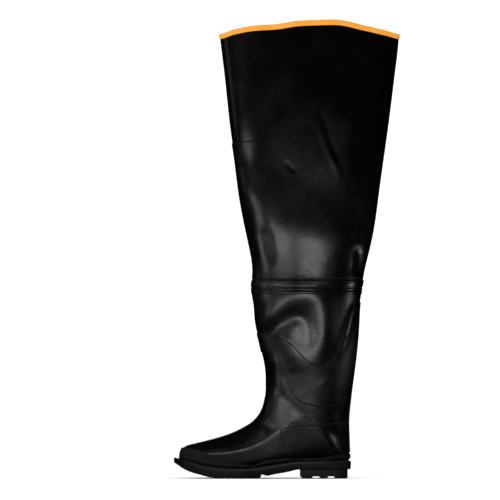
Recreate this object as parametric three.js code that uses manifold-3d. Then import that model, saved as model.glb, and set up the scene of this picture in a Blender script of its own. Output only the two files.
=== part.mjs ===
import * as THREE from 'three';
import { mergeVertices } from 'three/addons/utils/BufferGeometryUtils.js';
import Module from 'manifold-3d';

// Left hip wader, standing empty on its sole. Millimetres, +Z up, toe towards -X,
// outer side towards -Y. The origin lies on the floor under the middle pad of the heel.

const footLength = 308;        // outsole, from the heel edge to the toe tip
const heelEdge = 47.4;         // heel edge of the outsole behind the origin
const ballWidth = 115.6;       // outsole across the ball
const waistWidth = 85.4;       // outsole across the waist
const heelWidth = 85.2;        // outsole across the heel
const heelSeat = 31;           // top of the outsole under the heel, above the floor
const toeSpring = 27;          // lowest point of the toe tip above the floor
const heelHeight = 16;         // heel block
const heelFront = 41.5;        // breast of the heel block ahead of the origin
const heelBackMargin = 5.6;    // the heel block inside the outsole's edge at the back
const heelSideMargin = 2.4;    // and at the sides
const instepHeight = 156;      // front of the ankle above the floor
const upperMargin = 5;         // the upper's foot inside the outsole's edge at the ball
const heelInset = 3.9;         // the upper's heel inside the outsole's heel edge
const ankleWidth = 79;         // across the ankle
const kneeHeight = 341;        // seam between the boot and the thigh piece
const kneeFront = 126.3;       // front of the knee seam ahead of the origin
const kneeDepth = 194.6;       // front to back at the knee seam
const kneeWidth = 94;          // side to side at the knee seam
const collarHeight = 776;      // front and back corners of the collar
const collarLift = 23;         // how far the collar's sides stand above its corners
const collarFront = 182;       // front of the collar ahead of the origin
const collarDepth = 314;       // front to back at the collar
const collarWidth = 110;       // side to side at the collar
const wall = 2.2;              // rubber and lining of the upper
const shaftWall = 1.6;         // rubber and lining of the thigh piece
const clearance = 0.3;         // between neighbouring pieces
const seatClearance = 0.5;     // between the upper and the outsole's curved top
const panelThickness = 1.2;    // reinforcing panels
const stayThickness = 1.5;     // strip down the back seam
const stayWidth = 16;
const bandThickness = 1.2;     // tape over the knee seam
const bandWidth = 25;
const foxingThickness = 2.4;   // strip round the foot above the outsole
const bumperThickness = 2.2;   // ribbed strip round the toe
const bindingHeight = 7.5;     // orange binding over the collar's edge
const bindingThickness = 1.2;
const insoleThickness = 3;
const insoleClearance = 0.5;   // between the insole and the upper's turned-in edge
const lastingMargin = 13;      // turned-in edge under the foot
const lugDepth = 5;
const lugClimb = 4;            // side lugs climb the outsole's side above their roots
const soleEdge = 1.6;          // the outsole's edges drawn in above and below
const lugReach = 1.4;          // side lugs stand out from the outsole's edge
const lugPitch = 9;
const heelNotch = 4;           // depth of the channels across the heel
const heelStep = 1;            // the outsole is level this far ahead of the heel block

const aroundCount = 26;        // points round a ring

const rubber = { color: 0x0c0c0d, roughness: 0.28, metalness: 0 };
const soleRubber = { color: 0x121213, roughness: 0.55, metalness: 0 };
const bindingRubber = { color: 0xfba522, roughness: 0.45, metalness: 0 };
const lining = { color: 0x8d8d86, roughness: 0.95, metalness: 0 };

const wasm = await Module();
wasm.setup();

const lerp = THREE.MathUtils.lerp;
const clamp = THREE.MathUtils.clamp;
const alongX = (along) => heelEdge - along * footLength;
const alongOf = (x) => (heelEdge - x) / footLength;

// Smooth line through the rows of a table that keeps level stretches level.
function lineThrough(rows, column) {
  const at = rows.map((row) => row.along);
  const value = rows.map((row) => column(row));
  const slope = at.map((_, i) => {
    if (i === 0 || i === at.length - 1) {
      return 0;
    }
    const before = (value[i] - value[i - 1]) / (at[i] - at[i - 1]);
    const after = (value[i + 1] - value[i]) / (at[i + 1] - at[i]);
    return before * after <= 0 ? 0 : (2 * before * after) / (before + after);
  });
  return (along) => {
    const place = clamp(along, at[0], at[at.length - 1]);
    const i = clamp(at.findIndex((edge) => edge > place) - 1, 0, at.length - 2);
    const last = place >= at[at.length - 1];
    const k = last ? at.length - 2 : i;
    const span = at[k + 1] - at[k];
    const u = (place - at[k]) / span;
    const ease = u * u * (3 - 2 * u);
    const lead = u * (1 - u) * (1 - u) * span * slope[k];
    const trail = u * u * (u - 1) * span * slope[k + 1];
    return lerp(value[k], value[k + 1], ease) + lead + trail;
  };
}

// Outline of the outsole from below: half its width and the sideways bend of its middle line,
// towards the inner side, as shares of the width named in the row.
const solePlan = [
  { along: 0.000, of: heelWidth, half: 0.05, bend: -0.020 },
  { along: 0.010, of: heelWidth, half: 0.16, bend: -0.020 },
  { along: 0.036, of: heelWidth, half: 0.31, bend: -0.020 },
  { along: 0.060, of: heelWidth, half: 0.385, bend: -0.025 },
  { along: 0.095, of: heelWidth, half: 0.44, bend: -0.030 },
  { along: 0.130, of: heelWidth, half: 0.478, bend: -0.033 },
  { along: 0.190, of: heelWidth, half: 0.50, bend: -0.033 },
  { along: 0.270, of: heelWidth, half: 0.50, bend: -0.030 },
  { along: 0.350, of: waistWidth, half: 0.50, bend: -0.035 },
  { along: 0.420, of: waistWidth, half: 0.514, bend: -0.038 },
  { along: 0.480, of: ballWidth, half: 0.413, bend: -0.018 },
  { along: 0.550, of: ballWidth, half: 0.463, bend: 0.020 },
  { along: 0.620, of: ballWidth, half: 0.495, bend: 0.050 },
  { along: 0.680, of: ballWidth, half: 0.50, bend: 0.065 },
  { along: 0.730, of: ballWidth, half: 0.494, bend: 0.080 },
  { along: 0.790, of: ballWidth, half: 0.465, bend: 0.095 },
  { along: 0.850, of: ballWidth, half: 0.415, bend: 0.103 },
  { along: 0.900, of: ballWidth, half: 0.362, bend: 0.110 },
  { along: 0.940, of: ballWidth, half: 0.295, bend: 0.113 },
  { along: 0.968, of: ballWidth, half: 0.225, bend: 0.115 },
  { along: 0.986, of: ballWidth, half: 0.155, bend: 0.117 },
  { along: 1.000, of: ballWidth, half: 0.05, bend: 0.118 },
];
const soleHalf = lineThrough(solePlan, (row) => row.half * row.of);
const soleBend = lineThrough(solePlan, (row) => row.bend * row.of);

// Side view of the outsole: its top under the foot, as a share of the heel seat's height, and
// its underside, as a share of the height named in the row.
const breast = alongOf(-heelFront - heelStep);
const soleSide = [
  { along: 0.00, seat: 1.00, under: 1.00, of: heelHeight },
  { along: 0.10, seat: 1.00, under: 1.00, of: heelHeight },
  { along: breast, seat: 0.98, under: 1.00, of: heelHeight },
  { along: 0.37, seat: 0.88, under: 0.69, of: heelHeight },
  { along: 0.45, seat: 0.76, under: 0.41, of: heelHeight },
  { along: 0.50, seat: 0.67, under: 0.17, of: heelHeight },
  { along: 0.53, seat: 0.62, under: 0.00, of: heelHeight },
  { along: 0.63, seat: 0.55, under: 0.00, of: toeSpring },
  { along: 0.73, seat: 0.58, under: 0.00, of: toeSpring },
  { along: 0.79, seat: 0.64, under: 0.06, of: toeSpring },
  { along: 0.85, seat: 0.76, under: 0.23, of: toeSpring },
  { along: 0.91, seat: 0.93, under: 0.42, of: toeSpring },
  { along: 0.96, seat: 1.06, under: 0.68, of: toeSpring },
  { along: 1.00, seat: 1.14, under: 1.00, of: toeSpring },
];
const seatHeight = lineThrough(soleSide, (row) => row.seat * heelSeat);
const underHeight = lineThrough(soleSide, (row) => row.under * row.of);

// Rings of the foot. Each lies in a plane across the boot, from a point on the vamp down to
// a point on the outsole's top. along and rise place the point on the vamp, as shares of the
// foot's length and the instep's height, and under places the lower one. half is half the
// ring's width, as a share of the outsole's own half width at the ball less the margin, widest
// is how far down the ring is widest, and crown and floor are how square it is above and below.
const footRings = [
  { along: 0.965, rise: 0.290, under: 0.971, half: 0.15, widest: 0.50, crown: 2.0, floor: 2.2 },
  { along: 0.957, rise: 0.330, under: 0.962, half: 0.36, widest: 0.50, crown: 2.0, floor: 2.8 },
  { along: 0.930, rise: 0.369, under: 0.931, half: 0.60, widest: 0.60, crown: 2.1, floor: 3.6 },
  { along: 0.897, rise: 0.387, under: 0.897, half: 0.74, widest: 0.62, crown: 2.2, floor: 4.2 },
  { along: 0.842, rise: 0.413, under: 0.842, half: 0.87, widest: 0.64, crown: 2.2, floor: 5.0 },
  { along: 0.764, rise: 0.453, under: 0.761, half: 0.965, widest: 0.66, crown: 2.15, floor: 5.5 },
  { along: 0.680, rise: 0.508, under: 0.667, half: 1.00, widest: 0.67, crown: 2.1, floor: 6.0 },
  { along: 0.612, rise: 0.572, under: 0.576, half: 0.925, widest: 0.66, crown: 2.05, floor: 6.0 },
  { along: 0.560, rise: 0.638, under: 0.479, half: 0.84, widest: 0.63, crown: 2.0, floor: 6.0 },
  { along: 0.524, rise: 0.718, under: 0.375, half: 0.78, widest: 0.58, crown: 2.0, floor: 6.0 },
  { along: 0.502, rise: 0.808, under: 0.251, half: 0.755, widest: 0.54, crown: 2.0, floor: 6.0 },
  { along: 0.490, rise: 0.904, under: 0.138, half: 0.75, widest: 0.50, crown: 2.0, floor: 5.0 },
  { along: 0.4845, rise: 1.000, under: 0.050, half: 0.75, widest: 0.48, crown: 2.0, floor: 3.6 },
];

// Rings of the leg, up to the knee seam. rise goes from the instep's height to the knee's and
// forward from the ankle's front to the knee's; climb goes from the heel seat to the knee and
// rear from the heel's back to the knee's; wide goes from the ankle's width to the knee's.
const legRings = [
  { rise: 0.065, forward: 0.00, climb: 0.013, rear: -0.01, wide: 0.00 },
  { rise: 0.119, forward: 0.00, climb: 0.058, rear: 0.05, wide: 0.00 },
  { rise: 0.173, forward: 0.03, climb: 0.133, rear: 0.02, wide: 0.00 },
  { rise: 0.227, forward: 0.08, climb: 0.217, rear: -0.01, wide: 0.00 },
  { rise: 0.292, forward: 0.18, climb: 0.313, rear: 0.08, wide: 0.08 },
  { rise: 0.368, forward: 0.31, climb: 0.417, rear: 0.24, wide: 0.18 },
  { rise: 0.454, forward: 0.46, climb: 0.529, rear: 0.43, wide: 0.30 },
  { rise: 0.557, forward: 0.65, climb: 0.649, rear: 0.60, wide: 0.44 },
  { rise: 0.676, forward: 0.80, climb: 0.765, rear: 0.71, wide: 0.60 },
  { rise: 0.795, forward: 0.87, climb: 0.861, rear: 0.77, wide: 0.75 },
  { rise: 1.000, forward: 1.00, climb: 1.000, rear: 1.00, wide: 1.00 },
];

// Rings of the thigh piece, from the knee seam to the collar. lift is how much of the collar's
// raised sides the ring has.
const thighRings = [
  { rise: 0.013, forward: -0.02, rear: 0.01, wide: 0.03, lift: 0.0 },
  { rise: 0.134, forward: 0.04, rear: 0.19, wide: 0.30, lift: 0.0 },
  { rise: 0.230, forward: 0.20, rear: 0.325, wide: 0.50, lift: 0.0 },
  { rise: 0.362, forward: 0.39, rear: 0.45, wide: 0.70, lift: 0.0 },
  { rise: 0.500, forward: 0.53, rear: 0.58, wide: 0.82, lift: 0.02 },
  { rise: 0.615, forward: 0.66, rear: 0.69, wide: 0.90, lift: 0.08 },
  { rise: 0.740, forward: 0.77, rear: 0.80, wide: 0.96, lift: 0.25 },
  { rise: 0.870, forward: 0.88, rear: 0.91, wide: 1.00, lift: 0.60 },
  { rise: 0.975, forward: 0.98, rear: 0.99, wide: 1.00, lift: 0.95 },
  { rise: 1.000, forward: 1.00, rear: 1.00, wide: 1.00, lift: 1.00 },
];

// Upper edge of the collar, from its front corner to its back one.
const collarLine = lineThrough([
  { along: 0.00, lift: 0.00 },
  { along: 0.08, lift: 0.30 },
  { along: 0.19, lift: 0.56 },
  { along: 0.31, lift: 0.65 },
  { along: 0.45, lift: 0.92 },
  { along: 0.64, lift: 1.00 },
  { along: 0.81, lift: 0.56 },
  { along: 0.93, lift: 0.20 },
  { along: 1.00, lift: 0.00 },
], (row) => row.lift);


const ankleFront = -alongX(footRings[footRings.length - 1].along);
const heelBack = heelEdge - heelInset;
const kneeBack = kneeDepth - kneeFront;
const collarBack = collarDepth - collarFront;

const rings = [];
for (const row of footRings) {
  rings.push({
    top: { x: alongX(row.along), z: row.rise * instepHeight },
    bottom: { x: alongX(row.under), z: seatHeight(row.under) + seatClearance },
    half: row.half * (ballWidth / 2 - upperMargin),
    widest: row.widest,
    crown: row.crown,
    floor: row.floor,
    lift: 0,
  });
}
for (const row of legRings) {
  rings.push({
    top: { x: -lerp(ankleFront, kneeFront, row.forward), z: lerp(instepHeight, kneeHeight, row.rise) },
    bottom: { x: lerp(heelBack, kneeBack, row.rear), z: lerp(heelSeat, kneeHeight, row.climb) },
    half: lerp(ankleWidth, kneeWidth, row.wide) / 2,
    widest: 0.5,
    crown: 2,
    floor: row === legRings[0] ? 2.6 : 2,
    lift: 0,
  });
}
const kneeRing = rings.length - 1;
for (const row of thighRings) {
  const z = lerp(kneeHeight, collarHeight, row.rise);
  rings.push({
    top: { x: -lerp(kneeFront, collarFront, row.forward), z },
    bottom: { x: lerp(kneeBack, collarBack, row.rear), z },
    half: lerp(kneeWidth, collarWidth, row.wide) / 2,
    widest: 0.5,
    crown: 2,
    floor: 2,
    lift: row.lift * collarLift,
  });
}
const collarRing = rings.length - 1;

// The foot bends towards the inner side at the toe. The bend fades out up the leg.
function sideways(x, z) {
  const fade = 1 - THREE.MathUtils.smoothstep(z, heelSeat, kneeHeight);
  return soleBend(alongOf(x)) * fade;
}

// Points round a ring, from its top over the outer side to its bottom and back over the inner
// side. Each half of the ring is half a superellipse.
function ringPoints(ring) {
  const points = [];
  for (let j = 0; j < aroundCount; j += 1) {
    const turn = (2 * Math.PI * j) / aroundCount;
    const c = Math.cos(turn);
    const s = Math.sin(turn);
    const power = 2 / (c >= 0 ? ring.crown : ring.floor);
    const reach = Math.abs(c) ** power;
    const down = c >= 0 ? ring.widest * (1 - reach) : ring.widest + (1 - ring.widest) * reach;
    const x = lerp(ring.top.x, ring.bottom.x, down);
    const level = lerp(ring.top.z, ring.bottom.z, down);
    const lifted = ring.lift * collarLine(down);
    const y = sideways(x, level) - Math.sign(s) * ring.half * Math.abs(s) ** power;
    points.push(new THREE.Vector3(x, y, level + lifted));
  }
  return points;
}

const skin = rings.map(ringPoints);
const skinNormals = skin.map((ring, i) => ring.map((point, j) => {
  const above = skin[Math.min(i + 1, skin.length - 1)][j];
  const below = skin[Math.max(i - 1, 0)][j];
  const next = ring[(j + 1) % aroundCount];
  const before = ring[(j + aroundCount - 1) % aroundCount];
  const up = above.clone().sub(below);
  const round = next.clone().sub(before);
  const normal = round.cross(up).normalize();
  // The first ring is the rim of the toe's flat end, so it also moves with that end.
  return i === 0 ? normal.setX(-1) : normal;
}));

// One ring of the boot's surface moved outwards by a distance. level may lie between rings.
function surfaceRing(level, distance) {
  const i = clamp(Math.floor(level), 0, skin.length - 2);
  const u = level - i;
  return skin[i].map((point, j) => {
    const low = point.clone().addScaledVector(skinNormals[i][j], distance);
    const high = skin[i + 1][j].clone().addScaledVector(skinNormals[i + 1][j], distance);
    return low.lerp(high, u);
  });
}

// Level at which the surface's front has a height, for the parts above the ankle.
function levelAt(height) {
  const i = clamp(rings.findIndex((ring) => ring.top.z > height) - 1, 0, rings.length - 2);
  return i + (height - rings[i].top.z) / (rings[i + 1].top.z - rings[i].top.z);
}

// Levels from one to another, with every ring between.
function levelsBetween(from, to) {
  const levels = [from];
  for (let i = Math.floor(from) + 1; i < to; i += 1) {
    levels.push(i);
  }
  levels.push(to);
  return levels;
}

const surfaceRings = (from, to, distance) => (
  levelsBetween(from, to).map((level) => surfaceRing(level, distance))
);

// Closed solid through rings of points. closed joins the last ring to the first; otherwise
// each end has a flat fan round its centre.
function solidThrough(loops, closed = false) {
  const count = loops[0].length;
  const positions = loops.flat().flatMap((point) => point.toArray());
  const faces = [];
  const spans = closed ? loops.length : loops.length - 1;
  for (let i = 0; i < spans; i += 1) {
    const low = i * count;
    const high = ((i + 1) % loops.length) * count;
    for (let j = 0; j < count; j += 1) {
      const k = (j + 1) % count;
      faces.push(low + j, low + k, high + k, low + j, high + k, high + j);
    }
  }
  if (!closed) {
    for (const end of [0, loops.length - 1]) {
      const centre = new THREE.Vector3();
      loops[end].forEach((point) => centre.addScaledVector(point, 1 / count));
      const hub = positions.length / 3;
      positions.push(...centre.toArray());
      for (let j = 0; j < count; j += 1) {
        const a = end * count + j;
        const b = end * count + ((j + 1) % count);
        faces.push(...(end === 0 ? [hub, b, a] : [hub, a, b]));
      }
    }
  }
  return asManifold(positions, faces);
}

function asManifold(positions, faces) {
  const corner = (i) => new THREE.Vector3().fromArray(positions, 3 * i);
  let volume = 0;
  for (let f = 0; f < faces.length; f += 3) {
    volume += corner(faces[f]).cross(corner(faces[f + 1])).dot(corner(faces[f + 2]));
  }
  const outward = [...faces];
  if (volume < 0) {
    for (let f = 0; f < faces.length; f += 3) {
      outward[f + 1] = faces[f + 2];
      outward[f + 2] = faces[f + 1];
    }
  }
  return new wasm.Manifold(new wasm.Mesh({
    numProp: 3,
    vertProperties: new Float32Array(positions),
    triVerts: new Uint32Array(outward),
  }));
}

// Prism over an outline, given as [across, up] points.
function prism(points, depth) {
  const outline = new THREE.Shape(points.map(([across, up]) => new THREE.Vector2(across, up)));
  return new THREE.ExtrudeGeometry(outline, { depth, bevelEnabled: false });
}

function geometrySolid(geometry) {
  geometry.deleteAttribute('normal');
  geometry.deleteAttribute('uv');
  const merged = mergeVertices(geometry, 1e-4);
  return asManifold([...merged.attributes.position.array], [...merged.index.array]);
}

const across = 2 * collarDepth; // longer than the boot is deep or wide
// Prism over a side view outline. It reaches through the boot from side to side, or from one
// distance towards the inner side to another.
const sidePrism = (points, from = -across / 2, to = across / 2) => geometrySolid(
  prism(points, to - from).rotateX(Math.PI / 2).translate(0, to, 0),
);
// Prism over a plan outline, reaching from below the floor to above the foot.
const planPrism = (points) => geometrySolid(prism(points, across).translate(0, 0, -across / 2));

// Plate along the foot, from row to row of its own stations: half width, lowest and highest
// height at each share of the foot's length. edge is how far its edges are drawn in above and
// below, and heelPull how far its lower edge is drawn in behind.
function footPlate(stations, half, low, high, edge, heelPull = 0) {
  return solidThrough(stations.map((along) => {
    const x = alongX(along);
    const lowX = x - heelPull * (1 - clamp(along / heelRound, 0, 1));
    const mid = soleBend(along);
    const w = half(along);
    const bottom = low(along);
    const top = high(along);
    const widest = lerp(bottom, top, 0.75);
    const drawn = Math.max(w - edge, w / 2);
    return [
      new THREE.Vector3(x, mid, top),
      new THREE.Vector3(x, mid - drawn, top),
      new THREE.Vector3(x, mid - w, widest),
      new THREE.Vector3(lowX, mid - drawn, bottom),
      new THREE.Vector3(lowX, mid, bottom),
      new THREE.Vector3(lowX, mid + drawn, bottom),
      new THREE.Vector3(x, mid + w, widest),
      new THREE.Vector3(x, mid + drawn, top),
    ];
  }));
}

function sharesBetween(from, to) {
  const inside = solePlan.map((row) => row.along).filter((along) => along > from && along < to);
  return [from, ...inside, to];
}

// Wall between an outer and an inner set of rings, open at both ends or closed at its first.
const wallBetween = (outer, inner, open) => (
  solidThrough([...outer, ...[...inner].reverse()], open)
);

// The upper: foot and leg up to the knee seam, one wall, open at the knee and, inside the
// turned-in edge, under the foot.
function makeUpper() {
  const outer = surfaceRings(0, kneeRing, 0);
  const inner = surfaceRings(0, kneeRing, -wall);
  const body = wallBetween(outer, inner, false);
  const from = (heelInset + wall + lastingMargin) / footLength;
  const to = 1 - (lastingMargin + upperMargin + wall) / footLength;
  const opening = footPlate(
    sharesBetween(from, to),
    (along) => soleHalf(along) - upperMargin - lastingMargin * endTaper(along, from, to),
    (along) => seatHeight(along) - wall,
    (along) => seatHeight(along) + seatClearance + 2 * wall,
    0,
  );
  return body.subtract(opening);
}

// One at the middle of a stretch, rising towards its ends so that an outline closes round.
function endTaper(along, from, to) {
  const nearest = Math.min(along - from, to - along) * footLength;
  return 1 + 0.6 * (1 - clamp(nearest / lastingMargin, 0, 1)) ** 2;
}


// The thigh piece: one wall from the knee seam up to the collar, open at both ends.
const seamLevel = kneeRing + clearance / (rings[kneeRing + 1].top.z - kneeHeight);
function makeThighShaft() {
  const outer = surfaceRings(seamLevel, collarRing, 0);
  const inner = surfaceRings(seamLevel, collarRing, -shaftWall);
  return wallBetween(outer, inner, true);
}

// The outsole's body, with its lugs joined on underneath the forefoot.
const treadStart = 0.510;
const treadEnd = 0.985;
const heelRound = 0.12;        // the heel's end is round over this share of the foot
function makeOutsole() {
  const lugs = (along) => lugDepth * THREE.MathUtils.smoothstep(along, treadStart - 0.04, treadStart);
  const body = footPlate(
    solePlan.map((row) => row.along).concat(breast, treadStart).sort((a, b) => a - b),
    soleHalf,
    (along) => underHeight(along) + lugs(along),
    seatHeight,
    soleEdge,
    heelBackMargin - clearance,
  );
  const layer = footPlate(
    sharesBetween(treadStart, treadEnd),
    (along) => soleHalf(along) + lugReach,
    underHeight,
    (along) => Math.min(underHeight(along) + lugDepth + lugClimb, seatHeight(along) - clearance),
    clearance,
  );
  const blocks = [...sideLugs(), ...crossBands(), ...toeLugs()].map(planPrism);
  const tread = blocks.reduce((sum, block) => sum.add(block)).intersect(layer);
  return body.add(tread);
}

// Bands across the forefoot, as shares of the foot's length.
const bands = [
  { from: 0.530, to: 0.563 },
  { from: 0.572, to: 0.612 },
  { from: 0.621, to: 0.661 },
  { from: 0.670, to: 0.710 },
  { from: 0.719, to: 0.770 },
  { from: 0.904, to: 0.920 },
];
const bandEdge = 6;            // bands end this far inside the outsole's edge
function crossBands() {
  return bands.map(({ from, to }) => {
    const side = (along, sign) => (
      [alongX(along), soleBend(along) + sign * (soleHalf(along) - bandEdge)]
    );
    return [side(from, -1), side(to, -1), side(to, 1), side(from, 1)];
  });
}

// A block of the tread: its middle, the way its length points, its length and its width.
function block(x, y, turn, long, wide) {
  const c = Math.cos(turn);
  const s = Math.sin(turn);
  return [[-1, -1], [1, -1], [1, 1], [-1, 1]].map(([a, b]) => [
    x + (a * long * c) / 2 - (b * wide * s) / 2,
    y + (a * long * s) / 2 + (b * wide * c) / 2,
  ]);
}

// Short lugs round the forefoot's edge, square to it.
const sideLugLength = 13;
const sideLugWidth = 5;
function sideLugs() {
  const places = sharesBetween(treadStart, 1);
  const edgePoint = (along, sign) => (
    new THREE.Vector2(alongX(along), soleBend(along) + sign * soleHalf(along))
  );
  const edge = new THREE.SplineCurve([
    ...places.map((along) => edgePoint(along, -1)),
    ...places.reverse().map((along) => edgePoint(along, 1)),
  ]);
  const count = Math.round(edge.getLength() / lugPitch);
  return Array.from({ length: count }, (_, k) => {
    const u = (k + 0.5) / count;
    const point = edge.getPointAt(u);
    const along = edge.getTangentAt(u);
    return block(point.x, point.y, along.angle() + Math.PI / 2, sideLugLength, sideLugWidth);
  });
}

// Slanted lugs in pairs ahead of the bands.
const toeLugWidth = 5.5;
const toeLugSlant = 0.42;
const toeLugRows = [
  { along: 0.797, reach: 0.66 },
  { along: 0.829, reach: 0.68 },
  { along: 0.861, reach: 0.70 },
  { along: 0.888, reach: 0.55 },
  { along: 0.943, reach: 0.60 },
];
function toeLugs() {
  return toeLugRows.flatMap(({ along, reach }) => [-1, 1].map((sign) => {
    const long = soleHalf(along) * reach;
    const y = soleBend(along) + sign * (soleHalf(along) * 0.1 + long / 2);
    return block(alongX(along), y, Math.PI / 2 + sign * toeLugSlant, long, toeLugWidth);
  }));
}

// The heel block: the outsole's outline drawn in, and channels across its tread.
const heelTread = [
  { along: 0.000, cut: 1.4 },
  { along: 0.073, cut: 0 },
  { along: 0.241, cut: 0 },
  { along: 0.270, cut: 1 },
  { along: 0.400, cut: 1 },
  { along: 0.400, cut: 0 },
  { along: 0.588, cut: 0 },
  { along: 0.588, cut: 1 },
  { along: 0.707, cut: 1 },
  { along: 0.736, cut: 0 },
];
function makeHeel() {
  const back = heelEdge - heelBackMargin;
  const length = heelFront + back;
  const shares = [0, 0.01, 0.03, 0.06, 0.11, 0.18, 0.29];
  const shrink = length / (heelEdge + heelFront);
  const side = (along, sign) => [
    -heelFront + (alongX(along) + heelFront) * shrink,
    soleBend(along) + sign * (soleHalf(along) - heelSideMargin),
  ];
  const front = alongOf(-heelFront);
  const places = shares.filter((along) => along < front).concat(front);
  const plan = planPrism([
    ...places.map((along) => side(along, -1)),
    ...places.reverse().map((along) => side(along, 1)),
  ]);
  const top = heelHeight - clearance;
  const tread = heelTread.map(({ along, cut }) => [-heelFront + along * length, cut * heelNotch]);
  const profile = sidePrism([...tread, [heelEdge, 0], [heelEdge, top], [-heelFront, top]]);
  return plan.intersect(profile);
}

// Closed form of the boot up to the knee seam, its surface moved outwards by a distance.
const bootForm = (distance) => solidThrough(surfaceRings(0, kneeRing, distance));
const thighForm = (distance) => solidThrough(surfaceRings(kneeRing, collarRing, distance));

// Insole: the lowest layer of the room inside the upper.
function makeInsole() {
  const room = bootForm(-wall - insoleClearance);
  const slab = footPlate(
    sharesBetween(0, 1),
    (along) => soleHalf(along) + upperMargin,
    (along) => seatHeight(along) - wall,
    (along) => seatHeight(along) + seatClearance + wall + insoleClearance + insoleThickness,
    0,
  );
  return room.intersect(slab);
}

// Side view points on the foot: shares of the foot's length and of the instep's height.
const footSide = (rows) => rows.map(({ along, rise }) => [alongX(along), rise * instepHeight]);

// Side view points on the leg: shares of the way from its front to its back at a height, which
// itself is a share between two named heights.
function legSide(rows, low, high) {
  return rows.map(({ back, rise }) => {
    const z = lerp(low, high, rise);
    return [lerp(frontAt(z), backAt(z), back), z];
  });
}
function onLine(line, z) {
  const i = clamp(line.findIndex((point) => point.z > z) - 1, 0, line.length - 2);
  return lerp(line[i].x, line[i + 1].x, (z - line[i].z) / (line[i + 1].z - line[i].z));
}
const frontAt = (z) => onLine(rings.map((ring) => ring.top), z);
const backAt = (z) => onLine(rings.slice(footRings.length).map((ring) => ring.bottom), z);

// Edge of the outsole's top in the side view, from one share of the foot's length to another.
const seatLine = (from, to) => {
  const inside = soleSide.map((row) => row.along).filter((along) => along > from && along < to);
  return [from, ...inside, to].map((along) => (
    [alongX(along), seatHeight(along) + 2 * clearance]
  ));
};

const beyond = 0.06;           // side outlines run this share of the foot past its ends

// Ribbed strip round the toe: its upper edge, from the tip back to where it ends.
const bumperTop = [
  { along: 1 + beyond, rise: 0.343 },
  { along: 0.936, rise: 0.339 },
  { along: 0.874, rise: 0.322 },
  { along: 0.811, rise: 0.277 },
  { along: 0.743, rise: 0.238 },
  { along: 0.675, rise: 0.215 },
  { along: 0.612, rise: 0.181 },
  { along: 0.567, rise: 0.150 },
];
const stripJoint = 0.560;      // bumper and foxing meet here
function makeToeBumper() {
  return bootLayer(bumperThickness).intersect(sidePrism([
    ...footSide(bumperTop),
    ...seatLine(stripJoint + clearance / footLength, 1 + beyond),
  ]));
}

// Foxing: strip round the foot above the outsole, from the bumper's end back round the heel.
const foxingTop = [
  { along: 0.556, rise: 0.147 },
  { along: 0.505, rise: 0.192 },
  { along: 0.440, rise: 0.216 },
  { along: 0.375, rise: 0.227 },
  { along: 0.287, rise: 0.229 },
  { along: 0.147, rise: 0.237 },
  { along: 0.089, rise: 0.262 },
  { along: -beyond, rise: 0.275 },
];
function makeFoxing() {
  return bootLayer(foxingThickness).intersect(sidePrism([
    ...footSide(foxingTop),
    ...seatLine(-beyond, stripJoint),
  ]));
}

// Layer on the boot below the knee seam, a clearance outside its surface.
const bootLayer = (thickness) => (
  bootForm(clearance + thickness).subtract(bootForm(clearance))
);

// The strip down the back seam has its own place between the panels.
const backZone = (half, low, high) => sidePrism(
  [[0, low], [across, low], [across, high], [0, high]],
  -half,
  half,
);
const stayEdge = stayWidth / 2 + clearance;

// Quarters: the panels over the rear foot, between the foxing and the ankle seam.
const quarterEdge = [
  { along: -beyond, rise: 0.640 },
  { along: 0.061, rise: 0.631 },
  { along: 0.232, rise: 0.597 },
  { along: 0.374, rise: 0.569 },
  { along: 0.399, rise: 0.556 },
  { along: 0.397, rise: 0.451 },
  { along: 0.387, rise: 0.361 },
  { along: 0.368, rise: 0.290 },
  { along: 0.350, rise: 0.252 },
];
function makeQuarter(from, to) {
  const gap = 2 * clearance / instepHeight;
  const front = quarterEdge[quarterEdge.length - 1].along;
  const lower = foxingTop.filter((row) => row.along < front)
    .map(({ along, rise }) => ({ along, rise: rise + gap }));
  const outline = footSide([...quarterEdge, ...lower]);
  return bootLayer(panelThickness).intersect(sidePrism(outline, from, to));
}

// Leg panel: right round the leg, with a seam that dips to a point on each side above, and
// below it an edge that sweeps from the shin down to the ankle.
const legPanelTop = [
  { back: -0.20, rise: 0.746 },
  { back: 0.000, rise: 0.745 },
  { back: 0.145, rise: 0.732 },
  { back: 0.240, rise: 0.717 },
  { back: 0.320, rise: 0.693 },
  { back: 0.395, rise: 0.648 },
  { back: 0.465, rise: 0.612 },
  { back: 0.540, rise: 0.581 },
  { back: 0.600, rise: 0.573 },
  { back: 0.655, rise: 0.584 },
  { back: 0.730, rise: 0.612 },
  { back: 0.800, rise: 0.658 },
  { back: 0.856, rise: 0.709 },
  { back: 0.909, rise: 0.771 },
  { back: 0.944, rise: 0.860 },
  { back: 1.200, rise: 0.870 },
];
const legPanelFoot = [
  { back: 1.200, rise: 0.376 },
  { back: 0.862, rise: 0.372 },
  { back: 0.749, rise: 0.366 },
  { back: 0.609, rise: 0.368 },
  { back: 0.488, rise: 0.382 },
  { back: 0.387, rise: 0.402 },
  { back: 0.305, rise: 0.437 },
  { back: 0.235, rise: 0.504 },
  { back: 0.193, rise: 0.571 },
  { back: 0.159, rise: 0.617 },
  { back: 0.103, rise: 0.641 },
  { back: 0.000, rise: 0.646 },
  { back: -0.20, rise: 0.646 },
];
function makeLegPanel() {
  const outline = legSide([...legPanelTop, ...legPanelFoot], 0, kneeHeight);
  return bootLayer(panelThickness)
    .intersect(sidePrism(outline))
    .subtract(backZone(stayEdge, 0, kneeHeight));
}

// Strip down the back seam, from above the leg panel to the foxing.
const stayTop = 0.905;
const stayFoot = 0.290;
function makeBackStay() {
  const zone = backZone(stayWidth / 2, stayFoot * instepHeight, stayTop * kneeHeight);
  return bootLayer(stayThickness).intersect(zone);
}

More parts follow.
